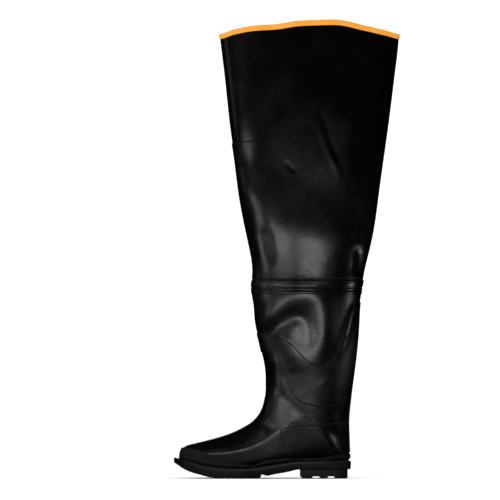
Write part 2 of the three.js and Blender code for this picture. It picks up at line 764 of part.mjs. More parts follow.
// Thigh panel: over the front and sides of the thigh piece, arched above.
const thighPanelEdge = [
  { back: -0.20, rise: 0.565 },
  { back: 0.000, rise: 0.565 },
  { back: 0.120, rise: 0.571 },
  { back: 0.282, rise: 0.583 },
  { back: 0.455, rise: 0.595 },
  { back: 0.570, rise: 0.599 },
  { back: 0.700, rise: 0.599 },
  { back: 0.800, rise: 0.585 },
  { back: 0.872, rise: 0.562 },
  { back: 0.930, rise: 0.532 },
  { back: 0.964, rise: 0.496 },
  { back: 0.985, rise: 0.436 },
  { back: 0.980, rise: 0.360 },
  { back: 0.975, rise: 0.230 },
  { back: 0.970, rise: 0.134 },
  { back: 0.965, rise: 0.016 },
  { back: -0.20, rise: 0.016 },
];
function makeThighPanel() {
  return thighForm(clearance + panelThickness)
    .subtract(thighForm(clearance))
    .intersect(sidePrism(legSide(thighPanelEdge, kneeHeight, collarHeight)));
}

// Tape over the knee seam: heights from the seam, as shares of the tape's width, and how thick it
// is there, as a share of its thickness.
const bandRows = [
  { up: -0.76, thick: 0.7 },
  { up: -0.60, thick: 1 },
  { up: -0.36, thick: 0.8 },
  { up: -0.28, thick: 0.4 },
  { up: -0.20, thick: 1 },
  { up: 0.16, thick: 1 },
  { up: 0.24, thick: 0.8 },
];
function makeKneeBand() {
  const heights = bandRows.map(({ up }) => levelAt(kneeHeight + up * bandWidth));
  const outer = bandRows.map(({ thick }, i) => (
    surfaceRing(heights[i], clearance + thick * bandThickness)
  ));
  const inner = surfaceRings(heights[0], heights[heights.length - 1], clearance);
  return wallBetween(outer, inner, true);
}

// Binding: a channel over the collar's edge. Each row is a corner of its section.
function makeBinding() {
  const outside = clearance + bindingThickness;
  const section = [
    { out: clearance, up: -bindingHeight },
    { out: outside, up: -bindingHeight },
    { out: outside, up: clearance + 0.4 * bindingThickness },
    { out: 0, up: clearance + bindingThickness },
    { out: -shaftWall, up: clearance + bindingThickness },
    { out: -shaftWall - outside, up: clearance + 0.4 * bindingThickness },
    { out: -shaftWall - outside, up: -bindingHeight },
    { out: -shaftWall - clearance, up: -bindingHeight },
    { out: -shaftWall - clearance, up: clearance },
    { out: clearance, up: clearance },
  ];
  const loops = section.map(({ out, up }) => {
    const top = surfaceRing(collarRing, out);
    const lower = surfaceRing(collarRing - 1, out);
    return top.map((point, j) => {
      const moved = point.clone();
      if (up > 0) {
        moved.z += up;
      } else {
        moved.lerp(lower[j], -up / (point.z - lower[j].z));
      }
      return moved;
    });
  });
  return solidThrough(loops, true);
}

function piece(name, solid, finish) {
  const mesh = solid.getMesh();
  const positions = new Float32Array(mesh.numVert * 3);
  for (let i = 0; i < mesh.numVert; i += 1) {
    for (let k = 0; k < 3; k += 1) {
      positions[3 * i + k] = mesh.vertProperties[mesh.numProp * i + k];
    }
  }
  const geometry = new THREE.BufferGeometry();
  geometry.setAttribute('position', new THREE.BufferAttribute(positions, 3));
  geometry.setIndex([...mesh.triVerts]);
  geometry.computeVertexNormals();
  const part = new THREE.Mesh(geometry, new THREE.MeshStandardMaterial(finish));
  part.name = name;
  return part;
}

const boot = new THREE.Group();
boot.add(piece('outsole', makeOutsole(), soleRubber));
boot.add(piece('heel', makeHeel(), soleRubber));
boot.add(piece('insole', makeInsole(), lining));
boot.add(piece('upper', makeUpper(), rubber));
boot.add(piece('thigh_shaft', makeThighShaft(), rubber));
boot.add(piece('knee_band', makeKneeBand(), rubber));
boot.add(piece('collar_binding', makeBinding(), bindingRubber));
boot.add(piece('toe_bumper', makeToeBumper(), soleRubber));
boot.add(piece('foxing', makeFoxing(), rubber));
boot.add(piece('quarter_outer', makeQuarter(-across / 2, -stayEdge), rubber));
boot.add(piece('quarter_inner', makeQuarter(stayEdge, across / 2), rubber));
boot.add(piece('leg_panel', makeLegPanel(), rubber));
boot.add(piece('back_stay', makeBackStay(), rubber));
boot.add(piece('thigh_panel', makeThighPanel(), rubber));

export default boot;
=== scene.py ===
import bmesh
import bpy
import numpy as np
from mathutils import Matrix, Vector


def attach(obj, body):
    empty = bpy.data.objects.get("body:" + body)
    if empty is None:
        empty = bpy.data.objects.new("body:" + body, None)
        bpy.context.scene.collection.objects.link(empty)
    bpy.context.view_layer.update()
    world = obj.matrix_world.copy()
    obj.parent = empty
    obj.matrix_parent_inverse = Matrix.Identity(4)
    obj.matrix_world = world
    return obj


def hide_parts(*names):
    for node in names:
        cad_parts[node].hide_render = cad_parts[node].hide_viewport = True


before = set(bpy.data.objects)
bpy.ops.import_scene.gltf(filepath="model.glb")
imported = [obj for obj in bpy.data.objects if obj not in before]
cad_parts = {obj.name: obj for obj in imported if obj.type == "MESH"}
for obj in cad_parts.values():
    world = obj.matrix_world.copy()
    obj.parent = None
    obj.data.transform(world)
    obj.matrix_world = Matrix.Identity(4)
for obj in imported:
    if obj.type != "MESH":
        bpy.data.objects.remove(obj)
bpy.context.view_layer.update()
print("frame: ", len(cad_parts), "nodes")

# A left hip wader, standing empty on its sole. Places are millimetres in the frame's own axes: toe
# towards -X, outer side towards -Y, floor at Z 0. addMesh turns them into metres.
mm = 0.001

last = {                # sizes that every piece follows
    "footLength": 308, "heelEdge": 47.4, "ballWidth": 115.6, "waistWidth": 85.4, "heelWidth": 85.2,
    "heelSeat": 31, "toeSpring": 27, "heelHeight": 16, "heelFront": 41.5, "lugDepth": 5,
    "instepHeight": 156, "upperMargin": 5, "heelInset": 3.9, "ankleWidth": 79,
    "kneeHeight": 341, "kneeFront": 126.3, "kneeDepth": 194.6, "kneeWidth": 94,
    "collarHeight": 776, "collarLift": 23, "collarFront": 182, "collarDepth": 314, "collarWidth": 110,
}


def alongX(along):
    return last["heelEdge"] - along * last["footLength"]


def alongOf(x):
    return (last["heelEdge"] - x) / last["footLength"]


def lerp(a, b, u):
    return a + (b - a) * u


def smoothstep(low, high, value):
    u = np.clip((value - low) / (high - low), 0, 1)
    return u * u * (3 - 2 * u)


# Smooth line that keeps level stretches level: a cubic between neighbours, each slope the harmonic
# mean of the slopes on its two sides, or zero where those disagree.
def levelLine(at, value):
    at, value = np.asarray(at, float), np.asarray(value, float)
    rise = np.diff(value) / np.diff(at)
    slope = np.zeros(len(at))
    same = rise[:-1] * rise[1:] > 0
    slope[1:-1][same] = 2 * (rise[:-1] * rise[1:])[same] / (rise[:-1] + rise[1:])[same]

    def line(x):
        x = np.clip(x, at[0], at[-1])
        i = np.clip(np.searchsorted(at, x, side="right") - 1, 0, len(at) - 2)
        span = at[i + 1] - at[i]
        u = (x - at[i]) / span
        bend = span * u * (1 - u) * ((1 - u) * slope[i] - u * slope[i + 1])
        return lerp(value[i], value[i + 1], u * u * (3 - 2 * u)) + bend
    return line


# Cubic spline with no jump in its bend: the second derivatives solve the usual row of equations.
def spline(at, values):
    at = np.asarray(at, float)
    values = np.asarray(values, float).reshape(len(at), -1)
    gap, count = np.diff(at), len(at)
    system, right = np.eye(count), np.zeros_like(values)
    k = np.arange(1, count - 1)
    system[k, k - 1], system[k, k], system[k, k + 1] = gap[:-1], 2 * (gap[:-1] + gap[1:]), gap[1:]
    rise = np.diff(values, axis=0) / gap[:, None]
    right[k] = 6 * (rise[1:] - rise[:-1])
    bend = np.linalg.solve(system, right)

    def line(x):
        x = np.clip(x, at[0], at[-1])
        i = np.clip(np.searchsorted(at, x, side="right") - 1, 0, count - 2)
        u, span = ((x - at[i]) / gap[i])[..., None], gap[i][..., None]
        curve = ((1 - u) ** 3 - (1 - u)) * bend[i] + (u ** 3 - u) * bend[i + 1]
        return lerp(values[i], values[i + 1], u) + span ** 2 / 6 * curve
    return line


# Distance run along a row of points, from its first.
def chords(points):
    steps = np.linalg.norm(np.diff(points, axis=0), axis=-1)
    return np.concatenate([[0], np.cumsum(steps)])


# Halves the stretch between low and high until test, below zero at low, turns positive there.
def solve(test, low, high):
    low, high = np.broadcast_arrays(np.asarray(low, float), np.asarray(high, float))
    for _ in range(34):
        middle = (low + high) / 2
        above = test(middle) > 0
        low, high = np.where(above, low, middle), np.where(above, middle, high)
    return (low + high) / 2


def columns(names, rows):
    return dict(zip(names.split(), np.array(rows, float).T))


# The outsole from below: half width and sideways bend of its middle line, as shares of a width.
heelW, waistW, ballW = last["heelWidth"], last["waistWidth"], last["ballWidth"]
solePlan = columns("along of half bend", [
    (0.000, heelW, 0.050, -0.020), (0.010, heelW, 0.160, -0.020), (0.036, heelW, 0.310, -0.020),
    (0.060, heelW, 0.385, -0.025), (0.095, heelW, 0.440, -0.030), (0.130, heelW, 0.478, -0.033),
    (0.190, heelW, 0.500, -0.033), (0.270, heelW, 0.500, -0.030), (0.350, waistW, 0.500, -0.035),
    (0.420, waistW, 0.514, -0.038), (0.480, ballW, 0.413, -0.018), (0.550, ballW, 0.463, 0.020),
    (0.620, ballW, 0.495, 0.050), (0.680, ballW, 0.500, 0.065), (0.730, ballW, 0.494, 0.080),
    (0.790, ballW, 0.465, 0.095), (0.850, ballW, 0.415, 0.103), (0.900, ballW, 0.362, 0.110),
    (0.940, ballW, 0.295, 0.113), (0.968, ballW, 0.225, 0.115), (0.986, ballW, 0.155, 0.117),
    (1.000, ballW, 0.050, 0.118),
])
soleHalf = levelLine(solePlan["along"], solePlan["half"] * solePlan["of"])
soleBend = levelLine(solePlan["along"], solePlan["bend"] * solePlan["of"])

# The outsole from the side: its top as a share of the heel seat, its underside of a named height.
breast = alongOf(-last["heelFront"] + 1)
heelH, spring = last["heelHeight"], last["toeSpring"]
soleSide = columns("along seat under of", [
    (0.00, 1.00, 1.00, heelH), (0.10, 1.00, 1.00, heelH), (breast, 0.98, 1.00, heelH),
    (0.37, 0.88, 0.69, heelH), (0.45, 0.76, 0.41, heelH), (0.50, 0.67, 0.17, heelH),
    (0.53, 0.62, 0.00, heelH), (0.63, 0.55, 0.00, spring), (0.73, 0.58, 0.00, spring),
    (0.79, 0.64, 0.06, spring), (0.85, 0.76, 0.23, spring), (0.91, 0.93, 0.42, spring),
    (0.96, 1.06, 0.68, spring), (1.00, 1.14, 1.00, spring),
])
seatHeight = levelLine(soleSide["along"], soleSide["seat"] * last["heelSeat"])
underHeight = levelLine(soleSide["along"], soleSide["under"] * soleSide["of"])

# Rings of the foot, the leg and the thigh piece. Each lies across the boot, from a point on its
# front or vamp (along, rise; forward) to one on its back or sole (under; climb, rear).
footRings = columns("along rise under half widest crown floor", [
    (0.965, 0.290, 0.971, 0.15, 0.50, 2.0, 2.2), (0.957, 0.330, 0.962, 0.36, 0.50, 2.0, 2.8),
    (0.930, 0.369, 0.931, 0.60, 0.60, 2.1, 3.6), (0.897, 0.387, 0.897, 0.74, 0.62, 2.2, 4.2),
    (0.842, 0.413, 0.842, 0.87, 0.64, 2.2, 5.0), (0.764, 0.453, 0.761, 0.965, 0.66, 2.15, 5.5),
    (0.680, 0.508, 0.667, 1.00, 0.67, 2.1, 6.0), (0.612, 0.572, 0.576, 0.925, 0.66, 2.05, 6.0),
    (0.560, 0.638, 0.479, 0.84, 0.63, 2.0, 6.0), (0.524, 0.718, 0.375, 0.78, 0.58, 2.0, 6.0),
    (0.502, 0.808, 0.251, 0.755, 0.54, 2.0, 6.0), (0.490, 0.904, 0.138, 0.75, 0.50, 2.0, 5.0),
    (0.4845, 1.000, 0.050, 0.75, 0.48, 2.0, 3.6),
])
legRings = columns("rise forward climb rear wide floor", [
    (0.065, 0.00, 0.013, -0.01, 0.00, 2.6), (0.119, 0.00, 0.058, 0.05, 0.00, 2),
    (0.173, 0.03, 0.133, 0.02, 0.00, 2), (0.227, 0.08, 0.217, -0.01, 0.00, 2),
    (0.292, 0.18, 0.313, 0.08, 0.08, 2), (0.368, 0.31, 0.417, 0.24, 0.18, 2),
    (0.454, 0.46, 0.529, 0.43, 0.30, 2), (0.557, 0.65, 0.649, 0.60, 0.44, 2),
    (0.676, 0.80, 0.765, 0.71, 0.60, 2), (0.795, 0.87, 0.861, 0.77, 0.75, 2),
    (1.000, 1.00, 1.000, 1.00, 1.00, 2),
])
thighRings = columns("rise forward rear wide lift", [
    (0.013, -0.02, 0.01, 0.03, 0.0), (0.134, 0.04, 0.19, 0.30, 0.0), (0.230, 0.20, 0.325, 0.50, 0.0),
    (0.362, 0.39, 0.45, 0.70, 0.0), (0.500, 0.53, 0.58, 0.82, 0.02), (0.615, 0.66, 0.69, 0.90, 0.08),
    (0.740, 0.77, 0.80, 0.96, 0.25), (0.870, 0.88, 0.91, 1.00, 0.60), (0.975, 0.98, 0.99, 1.00, 0.95),
    (1.000, 1.00, 1.00, 1.00, 1.00),
])
collarLine = levelLine(     # upper edge of the collar, from its front corner to its back one
    [0, 0.08, 0.19, 0.31, 0.45, 0.64, 0.81, 0.93, 1],
    [0, 0.30, 0.56, 0.65, 0.92, 1.00, 0.56, 0.20, 0],
)


# One row for each ring: top x and z, bottom x and z, half width, widest, crown, floor, lift.
def ringTable():
    foot, leg, thigh = footRings, legRings, thighRings
    seat = seatHeight(foot["under"]) + 0.5
    halfBall = last["ballWidth"] / 2 - last["upperMargin"]
    footRows = [alongX(foot["along"]), foot["rise"] * last["instepHeight"], alongX(foot["under"]), seat,
                foot["half"] * halfBall, foot["widest"], foot["crown"], foot["floor"],
                np.zeros(len(foot["along"]))]
    kneeBack = last["kneeDepth"] - last["kneeFront"]
    heelBack = last["heelEdge"] - last["heelInset"]
    ones = np.ones(len(leg["rise"]))
    legRows = [lerp(alongX(foot["along"][-1]), -last["kneeFront"], leg["forward"]),
               lerp(last["instepHeight"], last["kneeHeight"], leg["rise"]),
               lerp(heelBack, kneeBack, leg["rear"]),
               lerp(last["heelSeat"], last["kneeHeight"], leg["climb"]),
               lerp(last["ankleWidth"], last["kneeWidth"], leg["wide"]) / 2,
               0.5 * ones, 2 * ones, leg["floor"], 0 * ones]
    height = lerp(last["kneeHeight"], last["collarHeight"], thigh["rise"])
    ones = np.ones(len(height))
    thighRows = [lerp(-last["kneeFront"], -last["collarFront"], thigh["forward"]), height,
                 lerp(kneeBack, last["collarDepth"] - last["collarFront"], thigh["rear"]), height,
                 lerp(last["kneeWidth"], last["collarWidth"], thigh["wide"]) / 2,
                 0.5 * ones, 2 * ones, 2 * ones, thigh["lift"] * last["collarLift"]]
    return np.hstack([footRows, legRows, thighRows]).T


# way is the distance along the boot's middle from the toe; turn goes round it, 0 in front and
# positive over the outer side.
rings = ringTable()
middles = np.column_stack([rings[:, 0:4] / 2, rings[:, 4] / 2])
ringWay = chords(middles) * 1.4
ringLine = spline(ringWay, rings)
kneeWay, collarWay = ringWay[len(footRings["along"]) + len(legRings["rise"]) - 1], ringWay[-1]
toeWay, waistWay, throatWay, heelWay, ankleWay, shinWay = ringWay[[5, 10, 12, 13, 16, 18]]


# Bend of the middle line at a place of the side view: the sole's, fading to none at the knee.
def sideways(x, z):
    fade = 1 - smoothstep(last["heelSeat"], last["kneeHeight"], z)
    return soleBend(alongOf(x)) * fade


# How far down its ring and how far out to the side a turn lies: a superellipse whose power goes
# from the ring's crown above its widest place to its floor below.
def ringShares(row, turn):
    c, s = np.cos(turn), np.sin(turn)
    widest, crown, floor = row[..., 5], row[..., 6], row[..., 7]
    power = lerp(floor, crown, smoothstep(-0.35, 0.35, c))
    reach = (np.abs(c) ** power + np.abs(s) ** power) ** (-1 / power)
    down = widest - reach * np.where(c >= 0, widest * c, (1 - widest) * c)
    return down, s * reach


# The boot's surface without creases: the ring at this way, its down share from top to bottom and
# its out share of the half width, shifted by the sole's bend and lifted along the collar's line.
def bare(way, turn):
    way, turn = np.broadcast_arrays(np.asarray(way, float), np.asarray(turn, float))
    row = ringLine(way)
    down, out = ringShares(row, turn)
    x = lerp(row[..., 0], row[..., 2], down)
    z = lerp(row[..., 1], row[..., 3], down)
    y = sideways(x, z) - row[..., 4] * out
    return np.stack([x, y, z + row[..., 8] * collarLine(down)], axis=-1)


# Outward normal: the cross product of two short steps, round the surface and along it.
def bareNormal(way, turn):
    step, tilt = 0.6, 0.006
    along = bare(way + step, turn) - bare(way - step, turn)
    around = bare(way, turn + tilt) - bare(way, turn - tilt)
    normal = np.cross(around, along)
    return normal / np.maximum(np.linalg.norm(normal, axis=-1, keepdims=True), 1e-9)


# Front and back of the boot in the side view, and a place there given as shares: back from front
# to back at a height, which is itself a share between two heights.
sideWays = np.linspace(0, collarWay, 900)
frontLine, backLine = bare(sideWays, 0.0), bare(sideWays, np.pi)
heelRow = int(np.searchsorted(sideWays, heelWay))


def frontAt(z):
    return np.interp(z, np.maximum.accumulate(frontLine[:, 2]), frontLine[:, 0])


def backAt(z):
    return np.interp(z, np.maximum.accumulate(backLine[heelRow:, 2]), backLine[heelRow:, 0])


def sidePlace(back, rise, low, high):
    z = lerp(low, high, np.asarray(rise, float))
    return lerp(frontAt(z), backAt(z), np.asarray(back, float)), z


# Creases, each a soft ridge or trough along a line of the side view. Lines are shares: back from
# the front, rise of the knee's height (up to 1) or past it towards the collar (1 to 2). high is how
# far a crease stands out, in millimetres, wide the half width over which it fades, at its two ends,
# and ends the shares of its length over which it starts and stops.
creases = [
    # the fold that climbs from the shin, arches below the knee seam and falls to the seam's point
    {"line": [(0.00, 0.755), (0.09, 0.80), (0.22, 0.873), (0.34, 0.92), (0.45, 0.94), (0.57, 0.927),
              (0.65, 0.873), (0.665, 0.796), (0.64, 0.704), (0.60, 0.643), (0.56, 0.56), (0.54, 0.50)],
     "high": 4.0, "wide": (22, 20), "ends": (0.15, 0.32)},
    # the valley inside it, and the swell that faces the valley above the leg panel
    {"line": [(-0.01, 0.70), (0.12, 0.74), (0.21, 0.78), (0.32, 0.815), (0.42, 0.825), (0.49, 0.795),
              (0.51, 0.75), (0.50, 0.69), (0.46, 0.60)], "high": -3.0, "wide": (13, 16), "ends": (0.15, 0.3)},
    {"line": [(0.15, 0.77), (0.21, 0.75), (0.25, 0.715), (0.30, 0.66), (0.36, 0.58), (0.42, 0.50)],
     "high": 4.0, "wide": (10, 22), "ends": (0.35, 0.6)},
    # the thin fold that climbs towards the back seam
    {"line": [(0.98, 0.95), (0.935, 0.86), (0.895, 0.77), (0.86, 0.70), (0.82, 0.64), (0.78, 0.59)],
     "high": 3.0, "wide": (4, 9), "ends": (0.3, 0.3)},
    # shin and calf below the panel's seam
    {"line": [(0.11, 0.66), (0.15, 0.596), (0.16, 0.524), (0.19, 0.453), (0.24, 0.385)],
     "high": 1.3, "wide": (9, 13), "ends": (0.3, 0.4)},
    {"line": [(0.33, 0.58), (0.36, 0.50), (0.44, 0.43)], "high": -0.8, "wide": (14, 14), "ends": (0.3, 0.3)},
    {"line": [(0.62, 0.52), (0.74, 0.46), (0.84, 0.42)], "high": 0.7, "wide": (14, 14), "ends": (0.3, 0.3)},
    # vamp, where the foot bends
    {"line": [(0.10, 0.30), (0.20, 0.27), (0.30, 0.26)], "high": -0.9, "wide": (7, 7), "ends": (0.3, 0.3)},
    # thigh: the sharp crease that falls from the tent of the upper patch towards the back
    {"line": [(0.54, 1.715), (0.55, 1.657), (0.58, 1.60), (0.62, 1.536), (0.68, 1.464), (0.73, 1.39)],
     "high": 1.2, "wide": (6, 6), "ends": (0.25, 0.3)},
    {"line": [(0.575, 1.70), (0.59, 1.65), (0.62, 1.59), (0.66, 1.53), (0.715, 1.46)],
     "high": -0.9, "wide": (6, 6), "ends": (0.25, 0.3)},
    {"line": [(0.33, 1.496), (0.37, 1.464), (0.41, 1.44)], "high": -0.9, "wide": (5, 5), "ends": (0.3, 0.3)},
    # broad swells of the slack thigh piece: tent, hollow under it, and the roll above the knee
    {"line": [(-0.04, 1.59), (0.18, 1.61), (0.34, 1.665), (0.44, 1.712), (0.55, 1.745), (0.63, 1.705),
              (0.72, 1.66), (0.84, 1.72), (1.04, 1.76)], "high": 2.0, "wide": (32, 32), "ends": (0.38, 0.1)},
    {"line": [(-0.04, 1.50), (0.15, 1.476), (0.27, 1.448), (0.37, 1.416), (0.47, 1.384), (0.61, 1.367),
              (0.76, 1.347), (1.04, 1.30)], "high": -2.4, "wide": (40, 40), "ends": (0.1, 0.1)},
    {"line": [(-0.04, 1.39), (0.16, 1.335), (0.24, 1.263), (0.42, 1.207), (0.62, 1.182), (0.76, 1.15),
              (0.90, 1.06)], "high": 2.4, "wide": (30, 30), "ends": (0.1, 0.2)},
    {"line": [(0.12, 1.24), (0.16, 1.15), (0.18, 1.06)], "high": -1.2, "wide": (13, 11), "ends": (0.35, 0.35)},
    {"line": [(0.88, 1.16), (0.93, 1.08), (0.92, 1.02)], "high": -2.4, "wide": (9, 9), "ends": (0.3, 0.3)},
    {"line": [(0.16, 1.93), (0.22, 1.82), (0.20, 1.70)], "high": -1.4, "wide": (20, 20), "ends": (0.3, 0.3)},
    {"line": [(0.84, 1.93), (0.80, 1.84), (0.82, 1.76)], "high": -1.4, "wide": (18, 18), "ends": (0.3, 0.3)},
]
innerShift = {"back": 0.06, "rise": -0.03, "high": 0.8}   # the inner side folds alike, a little lower


def creasePlace(back, rise):
    rise = np.asarray(rise, float)
    z = np.where(rise < 1, rise * last["kneeHeight"], lerp(last["kneeHeight"], last["collarHeight"], rise - 1))
    return np.stack([lerp(frontAt(z), backAt(z), np.asarray(back, float)), z], axis=-1)


# Height of all creases at a place: for each, high * exp(-(distance / wide) squared), faded at both
# of its ends, and weighted by how far the surface faces that side.
def creaseHeight(points, turn):
    flat = points[..., [0, 2]].reshape(-1, 2)
    facing = np.sin(turn).reshape(-1)
    total = np.zeros(len(flat))
    for side, weight in ((1, smoothstep(-0.05, 0.45, facing)), (-1, smoothstep(-0.05, 0.45, -facing))):
        for row in creases:
            back, rise = np.array(row["line"]).T
            high = row["high"]
            if side < 0:
                back, rise = back + innerShift["back"], rise + innerShift["rise"]
                high = high * innerShift["high"]
            knots = creasePlace(back, rise)
            line = spline(chords(knots), knots)(np.linspace(0, chords(knots)[-1], 26))
            reach = 2.6 * max(row["wide"])
            near = (weight > 0) & np.all((flat > line.min(0) - reach) & (flat < line.max(0) + reach), axis=1)
            spot, pick = flat[near], np.arange(near.sum())
            start, run = line[:-1], np.diff(line, axis=0)
            offset = spot[:, None] - start
            share = np.clip((offset * run).sum(-1) / (run * run).sum(-1), 0, 1)
            away = np.linalg.norm(offset - share[..., None] * run, axis=-1)
            best = away.argmin(axis=1)
            place = (best + share[pick, best]) / len(run)
            wide = lerp(row["wide"][0], row["wide"][1], place)
            fade = smoothstep(0, row["ends"][0], place) * smoothstep(0, row["ends"][1], 1 - place)
            total[near] += weight[near] * high * fade * np.exp(-(away[pick, best] / wide) ** 2)
    return total.reshape(points.shape[:-1])


# The boot's surface with its creases, moved outwards by a distance.
def skin(way, turn, out=0.0):
    way, turn = np.broadcast_arrays(np.asarray(way, float), np.asarray(turn, float))
    points = bare(way, turn)
    lift = creaseHeight(points, turn) + out
    return points + bareNormal(way, turn) * lift[..., None]


# Way and turn of a place on the outer side that is given by its side view: the ring whose line the
# place lies on, and the turn whose down share is the place's share of that line.
def skinPlace(x, z):
    def ringRun(way):
        row = ringLine(way)
        return row, row[..., 2] - row[..., 0], row[..., 3] - row[..., 1]

    def past(way):
        row, runX, runZ = ringRun(way)
        return runZ * (x - row[..., 0]) - runX * (z - row[..., 1])
    way = solve(past, np.zeros_like(x), kneeWay * np.ones_like(x))
    row, runX, runZ = ringRun(way)
    share = ((x - row[..., 0]) * runX + (z - row[..., 1]) * runZ) / (runX ** 2 + runZ ** 2)
    turn = solve(lambda angle: ringShares(row, angle)[0] - share, 0 * x, np.pi + 0 * x)
    return way, turn


# Turn at which the surface is a distance from its own back line, on the outer side.
def turnFromBack(way, distance):
    row = ringLine(np.asarray(way, float))
    middle = sideways(row[..., 2], row[..., 3])
    return solve(lambda turn: distance - (middle - bare(way, turn)[..., 1]), np.pi / 2 + 0 * way, np.pi + 0 * way)


# Side-view line z(x) through places given in the order of their x.
def sideLine(x, z):
    knots = np.column_stack([x, z])
    line = spline(chords(knots), knots)(np.linspace(0, chords(knots)[-1], 500))
    return lambda at: np.interp(at, np.maximum.accumulate(line[:, 0]), line[:, 1])


# Meshes

# seam is 1 along the border of a panel, where its material is darker and duller.
def addMesh(name, points, faceSets, material, sharp=None, merge=False, seam=None):
    loops = np.concatenate([faces.reshape(-1) for faces in faceSets])
    sizes = np.concatenate([np.full(len(faces), faces.shape[1]) for faces in faceSets])
    used, loops = np.unique(loops, return_inverse=True)
    mesh = bpy.data.meshes.new(name)
    mesh.vertices.add(len(used))
    mesh.vertices.foreach_set("co", (points[used] * mm).astype(np.float32).reshape(-1))
    mesh.loops.add(len(loops))
    mesh.loops.foreach_set("vertex_index", loops.astype(np.int32).reshape(-1))
    mesh.polygons.add(len(sizes))
    mesh.polygons.foreach_set("loop_start", np.concatenate([[0], np.cumsum(sizes)[:-1]]).astype(np.int32))
    mesh.polygons.foreach_set("loop_total", sizes.astype(np.int32))
    mesh.update(calc_edges=True)
    if seam is not None:
        mesh.attributes.new("seam", "FLOAT", "POINT").data.foreach_set("value", seam[used].astype(np.float32))
    if merge:
        work = bmesh.new()
        work.from_mesh(mesh)
        bmesh.ops.remove_doubles(work, verts=work.verts, dist=0.002 * mm)
        work.to_mesh(mesh)
        work.free()
    mesh.polygons.foreach_set("use_smooth", np.ones(len(mesh.polygons), bool))
    if sharp:
        mesh.set_sharp_from_angle(angle=np.radians(sharp))
    mesh.materials.append(material)
    piece = bpy.data.objects.new(name, mesh)
    bpy.context.scene.collection.objects.link(piece)
    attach(piece, "root")
    return piece


# Quads of a grid of points, outward where columns run round and rows run up.
def gridFaces(rows, cols, wrapCols=False, wrapRows=False):
    i = np.arange(rows if wrapRows else rows - 1)[:, None]
    j = np.arange(cols if wrapCols else cols - 1)[None, :]
    above, beside = (i + 1) % rows, (j + 1) % cols
    return np.stack(np.broadcast_arrays(
        i * cols + j, i * cols + beside, above * cols + beside, above * cols + j), axis=-1)


# A wall: an outer and an inner sheet on one grid, joined round every border. keep leaves faces out.
def wallShape(outer, inner, wrapCols=False, keep=None):
    rows, cols = outer.shape[:2]
    faces = gridFaces(rows, cols, wrapCols)
    faces = (faces if keep is None else faces[keep]).reshape(-1, 4)
    count = rows * cols
    first, second = faces.reshape(-1), np.roll(faces, -1, axis=1).reshape(-1)
    border = ~np.isin(first * count + second, second * count + first)
    first, second = first[border], second[border]
    points = np.concatenate([outer.reshape(-1, 3), inner.reshape(-1, 3)])
    apart = np.linalg.norm(points[first] - points[second], axis=1) > 1e-4
    first, second = first[apart], second[apart]
    walls = np.column_stack([second, first, first + count, second + count])
    return points, [faces, faces[:, ::-1] + count, walls]


def joinShapes(shapes):
    points, sets, base = [], [], 0
    for some, faceSets in shapes:
        points.append(some)
        sets += [faces + base for faces in faceSets]
        base += len(some)
    return np.concatenate(points), sets


# Round shoulder of a plate: its thickness at a distance from its border.
def shoulder(distance, thick, radius=1.6):
    short = 1 - np.clip(distance / radius, 0, 1)
    return thick * np.sqrt(1 - short ** 2)


# Seam marks of a wall from its outer sheet's distances to the border; the inner sheet has none.
def seamMarks(distance):
    marks = 1 - smoothstep(1.0, 2.2, distance)
    return np.concatenate([marks.reshape(-1), np.zeros(marks.size)])


borderInsets = np.array([0, 0.12, 0.4, 0.8, 1.3, 2.2])      # a panel's rows next to its border


# Ways of the rows of a panel between two borders, close together at both, and each row's distance
# from the nearer border, square to it.
def panelRows(low, high, spacing, count):
    leanLow = np.hypot(1, np.gradient(low) / spacing)
    leanHigh = np.hypot(1, np.gradient(high) / spacing)
    fromLow = low + borderInsets[:, None] * leanLow
    fromHigh = high - borderInsets[::-1, None] * leanHigh
    share = np.linspace(0, 1, count)[1:-1, None]
    ways = np.concatenate([fromLow, lerp(fromLow[-1], fromHigh[0], share), fromHigh])
    distance = np.minimum((ways - low) / leanLow, (high - ways) / leanHigh)
    return ways, np.maximum(distance, 0)


# Materials

def nodeGroup(name, inputs, outputs):
    group = bpy.data.node_groups.new(name, "ShaderNodeTree")
    for label, value in inputs.items():
        group.interface.new_socket(label, in_out="INPUT", socket_type="NodeSocketFloat").default_value = value
    for label in outputs:
        group.interface.new_socket(label, in_out="OUTPUT", socket_type="NodeSocketFloat")
    return group, group.nodes.new("NodeGroupInput"), group.nodes.new("NodeGroupOutput")


# Adds a node, sets its values and links its inputs: a linked value is a (node, output) pair.
def node(tree, kind, inputs=None, **values):
    made = tree.nodes.new("ShaderNode" + kind)
    for key, value in values.items():
        setattr(made, key, value)
    for key, value in (inputs or {}).items():
        if isinstance(value, tuple) and isinstance(value[0], bpy.types.Node):
            tree.links.new(value[0].outputs[value[1]], made.inputs[key])
        else:
            made.inputs[key].default_value = value
    return made


# Fine orange-peel grain over slow waves, as a height in shares: each noise times its own amount.
def makeGrain():
    group, get, put = nodeGroup("rubberGrain", {"Grain": 900.0, "Grain High": 0.1, "Wave": 60.0, "Wave High": 1.0},
                                ["Height"])
    place = node(group, "TexCoord")
    fine = node(group, "TexNoise", {"Vector": (place, "Object"), "Scale": (get, "Grain"), "Detail": 2.0})
    slow = node(group, "TexNoise", {"Vector": (place, "Object"), "Scale": (get, "Wave"), "Detail": 3.0})
    part = node(group, "Math", {0: (slow, "Fac"), 1: (get, "Wave High")}, operation="MULTIPLY")
    both = node(group, "Math", {0: (fine, "Fac"), 1: (get, "Grain High"), 2: (part, 0)}, operation="MULTIPLY_ADD")
    group.links.new(both.outputs[0], put.inputs["Height"])
    return group


